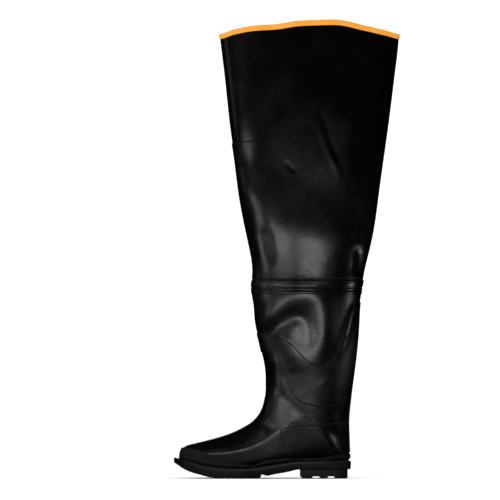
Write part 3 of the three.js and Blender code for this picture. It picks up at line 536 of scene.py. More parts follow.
# Patches of bloom and dust: cloudy noise cut off at a level, kept between 0 and Amount.
def makeBloom():
    group, get, put = nodeGroup("rubberBloom", {"Scale": 14.0, "Level": 0.5, "Soft": 0.2, "Amount": 1.0}, ["Mask"])
    place = node(group, "TexCoord")
    cloud = node(group, "TexNoise", {"Vector": (place, "Object"), "Scale": (get, "Scale"), "Detail": 7.0,
                                     "Roughness": 0.62})
    upper = node(group, "Math", {0: (get, "Level"), 1: (get, "Soft")}, operation="ADD")
    cut = node(group, "MapRange", {"Value": (cloud, "Fac"), "From Min": (get, "Level"), "From Max": (upper, 0),
                                   "To Max": (get, "Amount")})
    group.links.new(cut.outputs["Result"], put.inputs["Mask"])
    return group


rubberGrain, rubberBloom = makeGrain(), makeBloom()


def grouped(tree, group, **values):
    made = tree.nodes.new("ShaderNodeGroup")
    made.node_tree = group
    for key, value in values.items():
        made.inputs[key.replace("_", " ")].default_value = value
    return made


def newMaterial(name):
    material = bpy.data.materials.new(name)
    material.use_nodes = True
    return material, material.node_tree, material.node_tree.nodes["Principled BSDF"]


# Rubber: two near colours mixed by bloom, which also dulls it, dull along seams, grain as bump.
def rubberMaterial(name, look):
    material, tree, shader = newMaterial(name)
    bloom = grouped(tree, rubberBloom, Scale=look["bloomScale"], Level=look["bloomLevel"], Soft=0.25, Amount=1.0)
    grain = grouped(tree, rubberGrain, Grain=look["grain"], Grain_High=look["grainHigh"], Wave=look["wave"],
                    Wave_High=look["waveHigh"])
    colour = node(tree, "Mix", {"Factor": (bloom, "Mask")}, data_type="RGBA")
    colour.inputs["A"].default_value = (*look["deep"], 1)
    colour.inputs["B"].default_value = (*look["haze"], 1)
    seam = node(tree, "Attribute", attribute_name="seam")
    gloss = node(tree, "MapRange", {"Value": (bloom, "Mask"), "To Min": look["smooth"], "To Max": look["dull"]})
    worn = node(tree, "Mix", {"Factor": (seam, "Fac"), "A": (gloss, "Result"), "B": 0.9})
    bump = node(tree, "Bump", {"Height": (grain, "Height"), "Strength": 1.0, "Distance": 1 * mm})
    tree.links.new(colour.outputs["Result"], shader.inputs["Base Color"])
    tree.links.new(worn.outputs["Result"], shader.inputs["Roughness"])
    tree.links.new(bump.outputs["Normal"], shader.inputs["Normal"])
    shader.inputs["Specular IOR Level"].default_value = look["specular"]
    return material


# Colours, roughness where clean and where dulled, and heights of grain and waves in millimetres.
bootLook = {"deep": (0.0006, 0.0006, 0.0007), "haze": (0.0018, 0.0018, 0.0020), "smooth": 0.27, "dull": 0.36,
            "bloomScale": 12, "bloomLevel": 0.45, "grain": 900, "grainHigh": 0.012, "wave": 160, "waveHigh": 0.20,
            "specular": 0.5}
shaftLook = dict(bootLook, smooth=0.23, dull=0.33, wave=120, waveHigh=0.20)
panelLook = dict(bootLook, smooth=0.28, dull=0.60, specular=0.45)
soleLook = dict(bootLook, deep=(0.002, 0.002, 0.0022), haze=(0.006, 0.006, 0.006), smooth=0.42, dull=0.6,
                grain=1100, grainHigh=0.03, specular=0.35)
bindingLook = dict(bootLook, deep=(0.80, 0.29, 0.011), haze=(0.86, 0.36, 0.014), smooth=0.40, dull=0.5,
                   waveHigh=0.02)
liningLook = dict(bootLook, deep=(0.22, 0.22, 0.20), haze=(0.30, 0.30, 0.28), smooth=0.9, dull=0.98,
                  grain=1500, grainHigh=0.08, waveHigh=0.02)
bootRubber = rubberMaterial("bootRubber", bootLook)
shaftRubber = rubberMaterial("shaftRubber", shaftLook)
panelRubber = rubberMaterial("panelRubber", panelLook)
soleRubber = rubberMaterial("soleRubber", soleLook)
bindingRubber = rubberMaterial("bindingRubber", bindingLook)
liningCloth = rubberMaterial("liningCloth", liningLook)
print("materials made")

# The upper

upperParts = {"wall": 2.2, "rows": 230, "columns": 180, "lastingMargin": 13}


# The skin and a copy one wall inside it, open at the knee and under the foot within the margin
# that is turned in below the insole; the toe's first ring closes on its own middle.
def makeUpper():
    part = upperParts
    way = np.linspace(0, kneeWay, part["rows"])[:, None]
    turn = np.linspace(0, 2 * np.pi, part["columns"], endpoint=False)[None, :]
    turn = (turn + np.pi) % (2 * np.pi) - np.pi
    outer, inner = skin(way, turn), skin(way, turn, -part["wall"])
    outer = np.concatenate([np.broadcast_to(outer[:1].mean(1, keepdims=True), outer[:1].shape), outer])
    inner = np.concatenate([np.broadcast_to(inner[:1].mean(1, keepdims=True), inner[:1].shape), inner])
    inner[0:2, :, 0] += part["wall"]
    middle = (outer + np.roll(outer, -1, axis=1))[:-1] / 2
    along = alongOf(middle[..., 0])
    inside = soleHalf(along) - last["upperMargin"] - part["lastingMargin"]
    opening = np.abs(middle[..., 1] - soleBend(along)) < inside
    opening &= middle[..., 2] < seatHeight(along) + 3
    opening &= (along > 0.07) & (along < 0.92)
    shape = wallShape(outer, inner, wrapCols=True, keep=~opening)
    upper = addMesh("wader_upper", *shape, bootRubber, merge=True)
    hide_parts("upper")


makeUpper()
print("upper made")

# The thigh piece

thighParts = {"wall": 1.6, "rows": 180, "columns": 180, "gap": 0.3}


# The skin above the knee seam and a copy one wall inside it, open at both ends.
def makeThigh():
    part = thighParts
    way = np.linspace(kneeWay + part["gap"], collarWay, part["rows"])[:, None]
    turn = np.linspace(-np.pi, np.pi, part["columns"], endpoint=False)[None, :]
    shape = wallShape(skin(way, turn), skin(way, turn, -part["wall"]), wrapCols=True)
    thigh = addMesh("wader_thigh", *shape, shaftRubber)
    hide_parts("thigh_shaft")


makeThigh()
print("thigh piece made")

# Tape over the knee seam: a section of (up from the seam, out from the skin) carried round.

bandParts = {"columns": 400, "section": [
    (-19, -0.2), (-18.8, 0.4), (-18.2, 0.8), (-16.5, 1.0), (-14.2, 0.9), (-13.4, 0.6), (-12.6, 0.3),
    (-12.1, 0.6), (-11.4, 1.0), (-10.4, 1.1), (-9.4, 1.0), (-8.8, 0.7), (-8.4, -0.4), (-7.6, -0.8), (-6.8, -0.8),
    (-6.3, -0.2), (-6.0, 0.8), (-5.3, 1.05), (-4.0, 1.15), (-1.0, 1.28), (2.0, 1.4), (4.2, 1.45), (5.4, 1.35),
    (6.0, 0.7), (6.2, -0.2)]}


def makeKneeBand():
    up, out = np.array(bandParts["section"]).T
    turn = np.linspace(-np.pi, np.pi, bandParts["columns"], endpoint=False)[None, :]
    outer = skin(kneeWay + up[:, None], turn, out[:, None])
    inner = skin(kneeWay + up[:, None], turn, -0.3 + 0 * out[:, None])
    band = addMesh("knee_tape", *wallShape(outer, inner, wrapCols=True), shaftRubber)
    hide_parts("knee_band")


makeKneeBand()
print("knee tape made")

# Binding over the collar's edge: a rounded channel carried round.

bindingParts = {"height": 7.5, "thick": 1.4, "columns": 480}


def makeBinding():
    part, wall = bindingParts, thighParts["wall"]
    thick, down = part["thick"], part["height"]
    arc = np.linspace(0, np.pi, 9)[1:-1]
    over = wall / 2 + thick
    crown = [(-wall / 2 + over * np.cos(a), 0.3 + thick * np.sin(a)) for a in arc]
    section = np.array([(0.1, -down), (thick * 0.6, -down + 0.1), (thick, -down + 0.7), (thick, -down / 2),
                        (thick, 0.2), *crown, (-wall - thick, 0.2), (-wall - thick, -down + 0.7),
                        (-wall - 0.6 * thick, -down + 0.1), (-wall - 0.1, -down), (-wall - 0.1, -0.4),
                        (0.1, -0.4)])
    turn = np.linspace(-np.pi, np.pi, part["columns"], endpoint=False)[None, :]
    out, up = section[:, :1], section[:, 1:]
    points = skin(collarWay + np.minimum(up, 0), turn, out)
    points[..., 2] += np.maximum(up, 0)
    faces = gridFaces(len(section), part["columns"], True, True).reshape(-1, 4)
    binding = addMesh("collar_edge", points.reshape(-1, 3), [faces], bindingRubber)
    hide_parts("collar_binding")


makeBinding()
print("collar binding made")

# Panels of the leg

panelParts = {"thick": 1.5, "sunk": -0.3, "under": -0.5, "stayWidth": 16, "stayThick": 1.5, "gap": 0.3}
stayWays = np.linspace(throatWay, kneeWay, 300)
stayTurns = turnFromBack(stayWays, panelParts["stayWidth"] / 2 + panelParts["gap"])


# Turn of the back strip's edge at a way.
def stayTurn(way):
    return np.interp(way, stayWays, stayTurns)


# How far a panel stands out at a distance from its border, where it dips below the skin.
def panelOut(distance, thick=panelParts["thick"]):
    return shoulder(distance, thick) + panelParts["sunk"] * (distance <= 0)


legTop = columns("back rise", [
    (-0.20, 0.746), (0.000, 0.745), (0.145, 0.732), (0.240, 0.717), (0.320, 0.693), (0.395, 0.648),
    (0.465, 0.612), (0.540, 0.581), (0.600, 0.573), (0.655, 0.584), (0.730, 0.612), (0.800, 0.658),
    (0.856, 0.709), (0.909, 0.771), (0.944, 0.860), (1.200, 0.870),
])
legFoot = columns("back rise", [
    (-0.20, 0.646), (0.000, 0.646), (0.103, 0.641), (0.159, 0.617), (0.193, 0.571), (0.235, 0.504),
    (0.305, 0.437), (0.387, 0.402), (0.488, 0.382), (0.609, 0.368), (0.749, 0.366), (0.862, 0.372),
    (1.200, 0.376),
])


# Between its two border lines, from one edge of the back strip round the front to the other.
def makeLegPanel():
    share = np.linspace(-1, 1, 460)
    topLine = sideLine(*sidePlace(legTop["back"], legTop["rise"], 0, last["kneeHeight"]))
    footLine = sideLine(*sidePlace(legFoot["back"], legFoot["rise"], 0, last["kneeHeight"]))

    def border(line):
        def over(way):
            point = bare(way, share * stayTurn(way))
            return point[..., 2] - line(point[..., 0])
        return solve(over, waistWay + 0 * share, kneeWay + 0 * share)
    low, high = border(footLine), border(topLine)
    ways, distance = panelRows(low, high, 0.9, 46)
    turns = share * stayTurn(ways)
    shape = wallShape(skin(ways, turns, panelOut(distance)), skin(ways, turns, panelParts["under"]))
    panel = addMesh("leg_panel_skin", *shape, panelRubber, seam=seamMarks(distance))
    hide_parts("leg_panel")


makeLegPanel()
print("leg panel made")


# Strip down the back seam: a grid of ways and of distances from the back line on both sides.
stayParts = {"top": 0.905, "foot": 0.290}


def makeBackStay():
    part = panelParts
    lowZ, highZ = stayParts["foot"] * last["instepHeight"], stayParts["top"] * last["kneeHeight"]
    low, high = [solve(lambda way: bare(way, np.pi + 0 * way)[..., 2] - z, throatWay, kneeWay)
                 for z in (lowZ, highZ)]
    half = part["stayWidth"] / 2
    across = np.concatenate([borderInsets[:-1], np.linspace(borderInsets[-1], half, 6)])
    ways, distance = panelRows(low + np.zeros(2), high + np.zeros(2), 1, 160)
    ways, distance = ways[:, :1], distance[:, :1]
    reach = half - across
    outerTurn = np.stack([turnFromBack(ways[:, 0], max(value, 0.001)) for value in reach], axis=1)
    turns = np.concatenate([outerTurn, (2 * np.pi - outerTurn)[:, -2::-1]], axis=1)
    edge = np.concatenate([across, across[-2::-1]])[None, :]
    near = np.minimum(distance, edge)
    outer = skin(ways, turns, panelOut(near, part["stayThick"]))
    inner = skin(ways, turns, part["under"])
    stay = addMesh("back_strip", *wallShape(outer, inner), bootRubber, seam=seamMarks(near))
    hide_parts("back_stay")


makeBackStay()
print("back strip made")

# Thigh panel: over the front and sides, from the knee seam to a line arched above.

thighTop = columns("back rise", [
    (0.000, 0.565), (0.120, 0.571), (0.282, 0.583), (0.455, 0.595), (0.570, 0.599), (0.700, 0.599),
    (0.800, 0.585), (0.872, 0.562), (0.930, 0.532), (0.964, 0.496), (0.978, 0.430),
])


def makeThighPanel():
    edgeBack = thighTop["back"][-1]
    endTurn = np.arccos(1 - 2 * edgeBack)
    halfRound = last["kneeDepth"] / 2
    inside = np.linspace(0, endTurn - borderInsets[-1] / halfRound, 190)[:-1]
    side = np.concatenate([inside, endTurn - borderInsets[::-1] / halfRound])
    turns = np.concatenate([-side[:0:-1], side])
    fromEdge = (endTurn - np.abs(turns)) * halfRound
    back = (1 - np.cos(turns)) / 2
    rise = levelLine(thighTop["back"], thighTop["rise"])(back)
    heights = lerp(last["kneeHeight"], last["collarHeight"], np.array([0.016 + 0 * rise, rise]))
    low, high = [solve(lambda way: ringLine(way)[..., 1] - z, kneeWay + 0 * z, collarWay + 0 * z) for z in heights]
    ways, distance = panelRows(low, high, 1.0, 110)
    near = np.minimum(distance, fromEdge)
    shape = wallShape(skin(ways, turns, panelOut(near)), skin(ways, turns, panelParts["under"] + 0 * near))
    panel = addMesh("thigh_panel_skin", *shape, shaftRubber, seam=seamMarks(near))
    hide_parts("thigh_panel")


makeThighPanel()
print("thigh panel made")

# Quarters: between the foxing, the seam over the ankle, the vamp's seam and the back strip. The
# patch is worked out in way and turn from its four borders.

foxingTop = columns("along rise", [
    (0.556, 0.147), (0.505, 0.192), (0.440, 0.216), (0.375, 0.227), (0.287, 0.229), (0.147, 0.237),
    (0.089, 0.262), (-0.06, 0.275),
])
ankleSeam = columns("along rise", [(0.399, 0.556), (0.374, 0.569), (0.232, 0.597), (0.061, 0.631), (-0.06, 0.640)])
vampSeam = columns("along rise", [(0.350, 0.252), (0.368, 0.290), (0.387, 0.361), (0.397, 0.451), (0.399, 0.556)])


quarterParts = {"columns": 150, "rows": 60, "long": 125, "tall": 58}


def footLine(rows):
    return sideLine(alongX(rows["along"]), rows["rise"] * last["instepHeight"])


# Places spread evenly along a line of ways and turns.
def evenly(line, count):
    run = chords(bare(line[0], line[1]))
    at = np.linspace(0, run[-1], count)
    return np.stack([np.interp(at, run, line[0]), np.interp(at, run, line[1])])


def makeQuarters():
    part = quarterParts
    foxing, ankle = footLine(foxingTop), footLine(ankleSeam)
    cols, rows = part["columns"], part["rows"]

    # Where a side-view line meets the edge of the back strip.
    def meet(line):
        def over(way):
            point = bare(way, stayTurn(way))
            return point[..., 2] - line(point[..., 0])
        return solve(over, throatWay, shinWay)

    def across(line, startX):
        endWay = meet(line)
        end = bare(endWay, stayTurn(endWay))
        x = lerp(startX, end[0], np.sin(np.linspace(0, np.pi / 2, 200))[:-1])
        way, turn = skinPlace(x, line(x))
        return evenly(np.array([np.append(way, endWay), np.append(turn, stayTurn(endWay))]), cols)
    vampX, vampZ = alongX(vampSeam["along"]), vampSeam["rise"] * last["instepHeight"]
    knots = np.column_stack([vampX, vampZ])
    front = spline(chords(knots), knots)(np.linspace(0, chords(knots)[-1], 120))
    low = across(lambda x: foxing(x) + 0.6, front[0, 0])
    high = across(ankle, front[-1, 0])
    left = evenly(np.array(skinPlace(front[:, 0], front[:, 1])), rows)
    backWay = np.linspace(low[0, -1], high[0, -1], rows)
    right = np.array([backWay, stayTurn(backWay)])

    def sides(count, length):                        # shares crowded towards both ends
        insets = borderInsets / length
        return np.concatenate([insets, np.linspace(insets[-1], 1 - insets[-1], count)[1:-1], 1 - insets[::-1]])
    u, v = sides(cols, part["long"])[None, :], sides(rows, part["tall"])[:, None]

    def pick(line, share):
        at = share * (line.shape[1] - 1)
        return [np.interp(at, np.arange(line.shape[1]), line[k]) for k in (0, 1)]
    patch = []
    for k in (0, 1):
        bottom, top = pick(low, u)[k], pick(high, u)[k]
        fore, aft = pick(left, v)[k], pick(right, v)[k]
        corners = lerp(lerp(low[k, 0], low[k, -1], u), lerp(high[k, 0], high[k, -1], u), v)
        patch.append(lerp(bottom, top, v) + lerp(fore, aft, u) - corners)
    way, turn = patch
    near = np.minimum(np.minimum(u, 1 - u) * part["long"], np.minimum(v, 1 - v) * part["tall"])
    for name, side in (("outer", 1), ("inner", -1)):
        outer = skin(way, side * turn, panelOut(near))[:, ::side]
        inner = skin(way, side * turn, panelParts["under"] + 0 * near)[:, ::side]
        marks = seamMarks(near[:, ::side])
        quarter = addMesh("quarter_skin_" + name, *wallShape(outer, inner), panelRubber, seam=marks)
        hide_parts("quarter_" + name)


makeQuarters()
print("quarters made")


# Thin seam lines on the outer side, as shares like the creases, each a low ridge on the skin.
seamParts = {"wide": 1.3, "high": 0.35, "spacing": 1.5}
seamLines = {
    "instep": [(0.115, 0.350), (0.150, 0.320), (0.190, 0.295), (0.215, 0.268)],
    "ankle": [(0.070, 0.238), (0.140, 0.243), (0.215, 0.249)],
    "thigh": [(0.450, 1.590), (0.452, 1.530), (0.448, 1.470), (0.445, 1.425)],
}


# Way and turn of a side-view place on the thigh piece, whose rings lie level.
def thighPlace(x, z):
    way = solve(lambda at: ringLine(at)[..., 1] - z, kneeWay + 0 * z, collarWay + 0 * z)
    return way, np.arccos(np.clip(1 - 2 * (x - frontAt(z)) / (backAt(z) - frontAt(z)), -1, 1))


# A low five-sided section carried along each line, tapering at both ends.
def makeSeamLines():
    part, shapes = seamParts, []
    for name, rows in seamLines.items():
        knots = creasePlace(*np.array(rows).T)
        length = chords(knots)[-1]
        line = spline(chords(knots), knots)(np.linspace(0, length, int(length / part["spacing"]) + 2))
        place = thighPlace if name == "thigh" else skinPlace
        way, turn = place(line[:, 0], line[:, 1])
        base = panelParts["thick"] if name == "thigh" else 0
        on = skin(way, turn, base)
        ahead = np.gradient(on, axis=0)
        normal = bareNormal(way, turn)
        side = np.cross(ahead, normal)
        side /= np.linalg.norm(side, axis=-1, keepdims=True)
        ends = np.clip(np.minimum(np.arange(len(on)), np.arange(len(on))[::-1]) / 5, 0.15, 1)[:, None]
        section = [(-0.5, -0.5), (-0.35, 0.6), (0, 1), (0.35, 0.6), (0.5, -0.5)]
        sheet = np.array([on + side * a * part["wide"] * ends + normal * b * part["high"] * ends
                          for a, b in section])
        faces = gridFaces(len(section), len(on), wrapRows=True).reshape(-1, 4)
        count = len(on)
        ring = np.arange(len(section)) * count
        caps = np.array([ring, (ring + count - 1)[::-1]])
        shapes.append((sheet.reshape(-1, 3), [faces, caps]))
    points, sets = joinShapes(shapes)
    addMesh("seam_lines", points, sets, bootRubber, seam=np.ones(len(points)))


makeSeamLines()
print("seam lines made")


# Strips round the foot. One row of a strip is the line on the skin whose height over each side
# view place is level(x), from the strips' joint forward round the toe or back round the heel.
stripParts = {"joint": 0.560, "gap": 0.3, "seatGap": 0.4, "lowEdge": 3.0}


def stripRow(level, count, toe):
    jointX = alongX(stripParts["joint"]) + (-1 if toe else 1) * stripParts["gap"] / 2

    def over(way, turn):
        point = bare(way, turn)
        return point[..., 2] - level(point[..., 0])
    fore, aft = 0.0, solve(lambda way: over(way, np.pi + 0 * way), waistWay, ankleWay)
    if over(np.array(0.0), np.array(0.0)) < 0:
        fore = solve(lambda way: over(way, 0 * way), 0.0, toeWay)
    way = lerp(fore, aft, (1 - np.cos(np.linspace(0, np.pi, 900))) / 2)
    turn = solve(lambda angle: -over(way, angle), 0 * way, np.pi + 0 * way)
    half, other = bare(way, turn), bare(way, -turn)
    keep = half[:, 0] < jointX if toe else half[:, 0] > jointX
    half, other = half[keep], other[keep]
    line = np.concatenate([half[::-1], other] if toe else [half, other[::-1]])
    run = chords(line)
    at = np.linspace(0, run[-1], count)
    return np.stack([np.interp(at, run, line[:, k]) for k in range(3)], axis=-1)


# Normals of a grid: the cross product of its steps along and up.
def gridNormals(points):
    normal = np.cross(np.gradient(points, axis=1), np.gradient(points, axis=0))
    return normal / np.linalg.norm(normal, axis=-1, keepdims=True)


# out(u, v) is how far the strip stands out, with u along it and v up it. A last row below the
# first closes the strip down to the outsole's top.
def makeStrip(name, replaced, topRows, toe, rows, count, out, material):
    top = footLine(topRows)
    shares = np.linspace(0, 1, rows)

    def lowEdge(x):
        return seatHeight(alongOf(x)) + stripParts["lowEdge"]
    base = np.array([stripRow(lambda x, s=s: lerp(lowEdge(x), top(x), s), count, toe) for s in shares])
    if toe:
        base = base[:, ::-1]
    normals = gridNormals(base)
    if normals[rows // 2, count // 2, 0] * (-1 if toe else 1) < 0:
        normals, base = -normals[:, ::-1], base[:, ::-1]
    u, v = np.meshgrid(np.linspace(0, 1, count), shares)
    outer = base + normals * out(u, v, chords(base[0])[-1])[..., None]
    inner = base - normals * 0.4
    skirts = []
    for sheet in (outer, inner):
        skirt = sheet[:1].copy()
        skirt[..., 2] = seatHeight(alongOf(skirt[..., 0])) + stripParts["seatGap"]
        skirts.append(np.concatenate([skirt, sheet]))
    strip = addMesh(name, *wallShape(*skirts), material, sharp=50)
    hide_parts(replaced)
    return strip


bumperParts = {"thick": 2.2, "knurlPitch": 3.1, "knurlHigh": 0.45, "tall": 20, "rows": 60, "columns": 620}
bumperTop = columns("along rise", [
    (1.060, 0.343), (0.936, 0.339), (0.874, 0.322), (0.811, 0.277), (0.743, 0.238), (0.675, 0.215),
    (0.612, 0.181), (0.550, 0.147),
])


# Ribbed: diamonds where two slanted sets of ridges cross, inside a plain rim.
def bumperOut(u, v, length):
    part = bumperParts
    along, up = u * length, v * part["tall"]

    def wave(at):
        return np.sin(2 * np.pi * at / part["knurlPitch"])
    ridges = wave(along + up) * wave(along - up)
    rim = smoothstep(0.0, 0.06, v) * smoothstep(0.0, 0.12, 1 - v)
    near = np.minimum((1 - v) * part["tall"], np.minimum(u, 1 - u) * length)
    return shoulder(near, part["thick"]) + ridges * part["knurlHigh"] * rim - 0.3 * (near <= 0)


foxingParts = {"thick": 2.4, "step": 0.5, "line": 0.7, "tall": 10, "rows": 40, "columns": 420}


# Two plain steps with a line between them.
def foxingOut(u, v, length):
    part = foxingParts
    near = np.minimum((1 - v) * part["tall"], np.minimum(u, 1 - u) * length)
    line = part["line"] * np.exp(-((v - 0.62) / 0.05) ** 2)
    thick = part["thick"] - part["step"] * smoothstep(0.60, 0.66, v)
    return shoulder(near, thick) - line * (near > 1) - 0.3 * (near <= 0)


makeStrip("toe_wrap", "toe_bumper", bumperTop, True, bumperParts["rows"], bumperParts["columns"], bumperOut,
          soleRubber)
makeStrip("foxing_strip", "foxing", foxingTop, False, foxingParts["rows"], foxingParts["columns"],
          foxingOut, soleRubber)
print("foot strips made")

# The outsole. Its outline is a closed spline through the plan's rows, heel first round the outer
# side; s goes from 0 to 1 round it. The width is kept apart from the bend until the end.

soleParts = {"edge": 1.6, "reach": 1.4, "pitch": 9.0, "sideLong": 13, "sideWide": 7, "climb": 4, "rim": 2.4,
             "treadStart": 0.510, "bandEdge": 7}


def outlineSpline():
    x, w = alongX(solePlan["along"]), solePlan["half"] * solePlan["of"]
    ring = np.concatenate([np.column_stack([x, w]), np.column_stack([x, -w])[::-1]])
    ring = np.concatenate([ring[-4:], ring, ring[:5]])
    run = chords(ring)
    line, start, end = spline(run, ring), run[4], run[-5]
    return lambda s: line(lerp(start, end, np.asarray(s, float)))


outlineLine = outlineSpline()


# A place on the outline drawn in by a distance: x and the width from the middle line.
def outline(s, inset=0.0):
    point, ahead, behind = outlineLine(s), outlineLine(np.asarray(s) + 1e-4), outlineLine(np.asarray(s) - 1e-4)
    way = ahead - behind
    way /= np.linalg.norm(way, axis=-1, keepdims=True)
    inward = np.stack([-way[..., 1], way[..., 0]], axis=-1)
    return point + inward * np.asarray(inset)[..., None]


# The place in space of a plan place and a height, on its side of the bent middle line.
def planPlace(point, z):
    y = soleBend(alongOf(point[..., 0])) - point[..., 1]
    return np.stack(np.broadcast_arrays(point[..., 0], y, z), axis=-1)


# The level between the lugs: one lug's depth above the tread, from where the tread starts.
def lugBase(along):
    start = soleParts["treadStart"]
    return underHeight(along) + last["lugDepth"] * smoothstep(start - 0.04, start, along)


# Closed body from a side profile of (inset, share of the height) carried round the outline, its
# underside and top filled by rows from side to side.
def soleBody(lowAt, highAt, profile, count=320, across=28):
    s = (np.arange(count) + 0.5) / count
    wall = []
    for inset, share in profile:
        point = outline(s, inset + 0 * s)
        along = alongOf(point[..., 0])
        wall.append(planPlace(point, lerp(lowAt(along), highAt(along), share)))
    wall = np.array(wall)
    shapes = [(wall.reshape(-1, 3), [gridFaces(len(profile), count, True).reshape(-1, 4)])]
    for row, height, flip in ((0, lowAt, True), (len(profile) - 1, highAt, False)):
        half = count // 2
        sideA, sideB = wall[row, :half], wall[row, :half - 1:-1]
        share = np.linspace(0, 1, across)[None, :, None]
        points = lerp(sideA[:, None], sideB[:, None], share)
        flatZ = height(alongOf(points[..., 0]))
        blend = np.clip(np.minimum(share[..., 0], 1 - share[..., 0]) * 6, 0, 1)
        points[..., 2] = lerp(points[..., 2], flatZ, blend)
        faces = gridFaces(half, across).reshape(-1, 4)
        shapes.append((points.reshape(-1, 3), [faces[:, ::-1] if flip else faces]))
        ring = np.arange(across)
        caps = [ring[None, :], ((half - 1) * across + ring)[None, ::-1]]
        shapes.append((points.reshape(-1, 3), [cap if flip else cap[:, ::-1] for cap in caps]))
    return joinShapes(shapes)


# Tapered blocks, all at once: three rings of four corners and two lids each. axes turn the local
# long and wide directions; base and tip are heights over the plan place of each corner.
def blockShape(x, y, turn, long, wide, baseAt, tipAt, taper=0.8, bevel=0.5):
    x, y, turn, long, wide = np.broadcast_arrays(*[np.asarray(v, float) for v in (x, y, turn, long, wide)])
    corners = np.array([(-1, -1), (1, -1), (1, 1), (-1, 1)]) / 2
    rings = []
    for shrink, share in ((0, 0), (taper * 0.6, 0.8), (taper * 0.6 + bevel, 1.0)):
        a = corners[None, :, 0] * (long - 2 * shrink)[:, None]
        b = corners[None, :, 1] * (wide - 2 * shrink)[:, None]
        px = x[:, None] + a * np.cos(turn)[:, None] - b * np.sin(turn)[:, None]
        py = y[:, None] + a * np.sin(turn)[:, None] + b * np.cos(turn)[:, None]
        pz = lerp(baseAt(px, py), tipAt(px, py), share)
        rings.append(np.stack([px, py, pz], axis=-1))
    points = np.stack(rings, axis=1)
    base = 12 * np.arange(len(x))[:, None, None]
    sides = np.array([[k * 4 + j, (k + 1) * 4 + j, (k + 1) * 4 + (j + 1) % 4, k * 4 + (j + 1) % 4]
                      for k in (0, 1) for j in range(4)])
    lids = np.array([[0, 1, 2, 3], [11, 10, 9, 8]])
    faces = (np.concatenate([sides, lids])[None] + base).reshape(-1, 4)
    return points.reshape(-1, 3), [faces]


def soleUnder(px, py):
    return underHeight(alongOf(px))


def soleLugBase(px, py):
    return lugBase(alongOf(px)) + 0.4


# Lugs along the edge at an even pitch, square to the outline, with a lower block between them.
def sideLugs():
    part = soleParts
    s = np.linspace(0, 1, 4000)
    line = outline(s)
    along = alongOf(line[..., 0])
    front = along > part["treadStart"]
    run = chords(line[front])
    count = int(round(run[-1] / part["pitch"]))
    at = (np.arange(count) + 0.5) / count * run[-1]
    place = np.interp(at, run, s[front])
    inset = part["sideLong"] / 2 - part["reach"]
    point = outline(place, inset + 0 * place)
    ahead = outline(place + 1e-3) - outline(place - 1e-3)
    turn = np.arctan2(-ahead[:, 1], ahead[:, 0]) + np.pi / 2
    y = soleBend(alongOf(point[:, 0])) - point[:, 1]

    def climb(px, py):
        return lugBase(alongOf(px)) + part["climb"]

    def rim(px, py):
        return soleUnder(px, py) + part["rim"]
    lobes = blockShape(point[:, 0], y, turn, part["sideLong"], part["sideWide"], climb, soleUnder, 0.5, 0.9)
    between = blockShape(point[:, 0], y, turn, part["sideLong"] - 2, part["pitch"] * 1.04, soleLugBase, rim,
                         0.1, 0.2)
    return joinShapes([lobes, between])


crossBands = [(0.530, 0.563), (0.572, 0.612), (0.621, 0.661), (0.670, 0.710), (0.719, 0.770), (0.904, 0.920)]


# Bands across the forefoot; every second one has a row of diamonds between two rails.
def bandShapes():
    shapes, edge = [], soleParts["bandEdge"]
    for k, (start, end) in enumerate(crossBands):
        wide = (end - start) * last["footLength"]
        middle = (start + end) / 2
        half = float(soleHalf(middle)) - edge
        y = float(soleBend(middle))
        x = float(alongX(middle))
        if k % 2 == 0 and k < 5:
            cells = 9
            step = 2 * half / cells
            at = y - half + step * (np.arange(cells) + 0.5)
            shapes.append(blockShape(x + 0 * at, at, 0 * at + np.pi / 4, step * 0.52, step * 0.52,
                                     soleLugBase, soleUnder, 0.6, 0.4))
            for rail in (-1, 1):
                shapes.append(blockShape([x + rail * (wide / 2 - 1.1)], [y], [np.pi / 2], [2 * half], [2.2],
                                         soleLugBase, soleUnder, 0.3, 0.3))
                notch = y - half + step * np.arange(1, cells)
                shapes.append(blockShape(x + rail * wide * 0.27 + 0 * notch, notch, 0 * notch + np.pi / 4,
                                         step * 0.3, step * 0.3, soleLugBase, soleUnder, 0.3, 0.3))
        else:
            ribs = max(3, int(wide / 2.6))
            at = x + (np.arange(ribs) - (ribs - 1) / 2) * wide / ribs
            shapes.append(blockShape(at, y + 0 * at, 0 * at + np.pi / 2, 2 * half, wide / ribs * 0.72,
                                     soleLugBase, soleUnder, 0.2, 0.3))
    return shapes


toeLugRows = columns("along reach", [(0.797, 0.66), (0.829, 0.68), (0.861, 0.70), (0.888, 0.55), (0.943, 0.60)])


# Slanted bars in pairs, one on each side of the middle line.
def toeLugs():
    along, reach = toeLugRows["along"], toeLugRows["reach"]
    shapes = []
    for sign in (-1, 1):
        long = soleHalf(along) * reach
        y = soleBend(along) + sign * (soleHalf(along) * 0.1 + long / 2)
        shapes.append(blockShape(alongX(along), y, np.pi / 2 + sign * 0.42 + 0 * y, long, 5.5,
                                 soleLugBase, soleUnder, 0.6, 0.5))
    return shapes


def makeOutsole():
    edge = soleParts["edge"]
    profile = [(edge, 0), (edge * 0.5, 0.06), (edge * 0.25, 0.25), (0.1, 0.6), (0, 0.75), (0.2, 0.86), (0.6, 0.95),
               (edge, 1)]
    body = soleBody(lugBase, seatHeight, profile)
    points, sets = joinShapes([body, sideLugs(), *bandShapes(), *toeLugs()])
    sole = addMesh("outsole_tread", points, sets, soleRubber, sharp=38, merge=True)
    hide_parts("outsole")


makeOutsole()
print("outsole made")

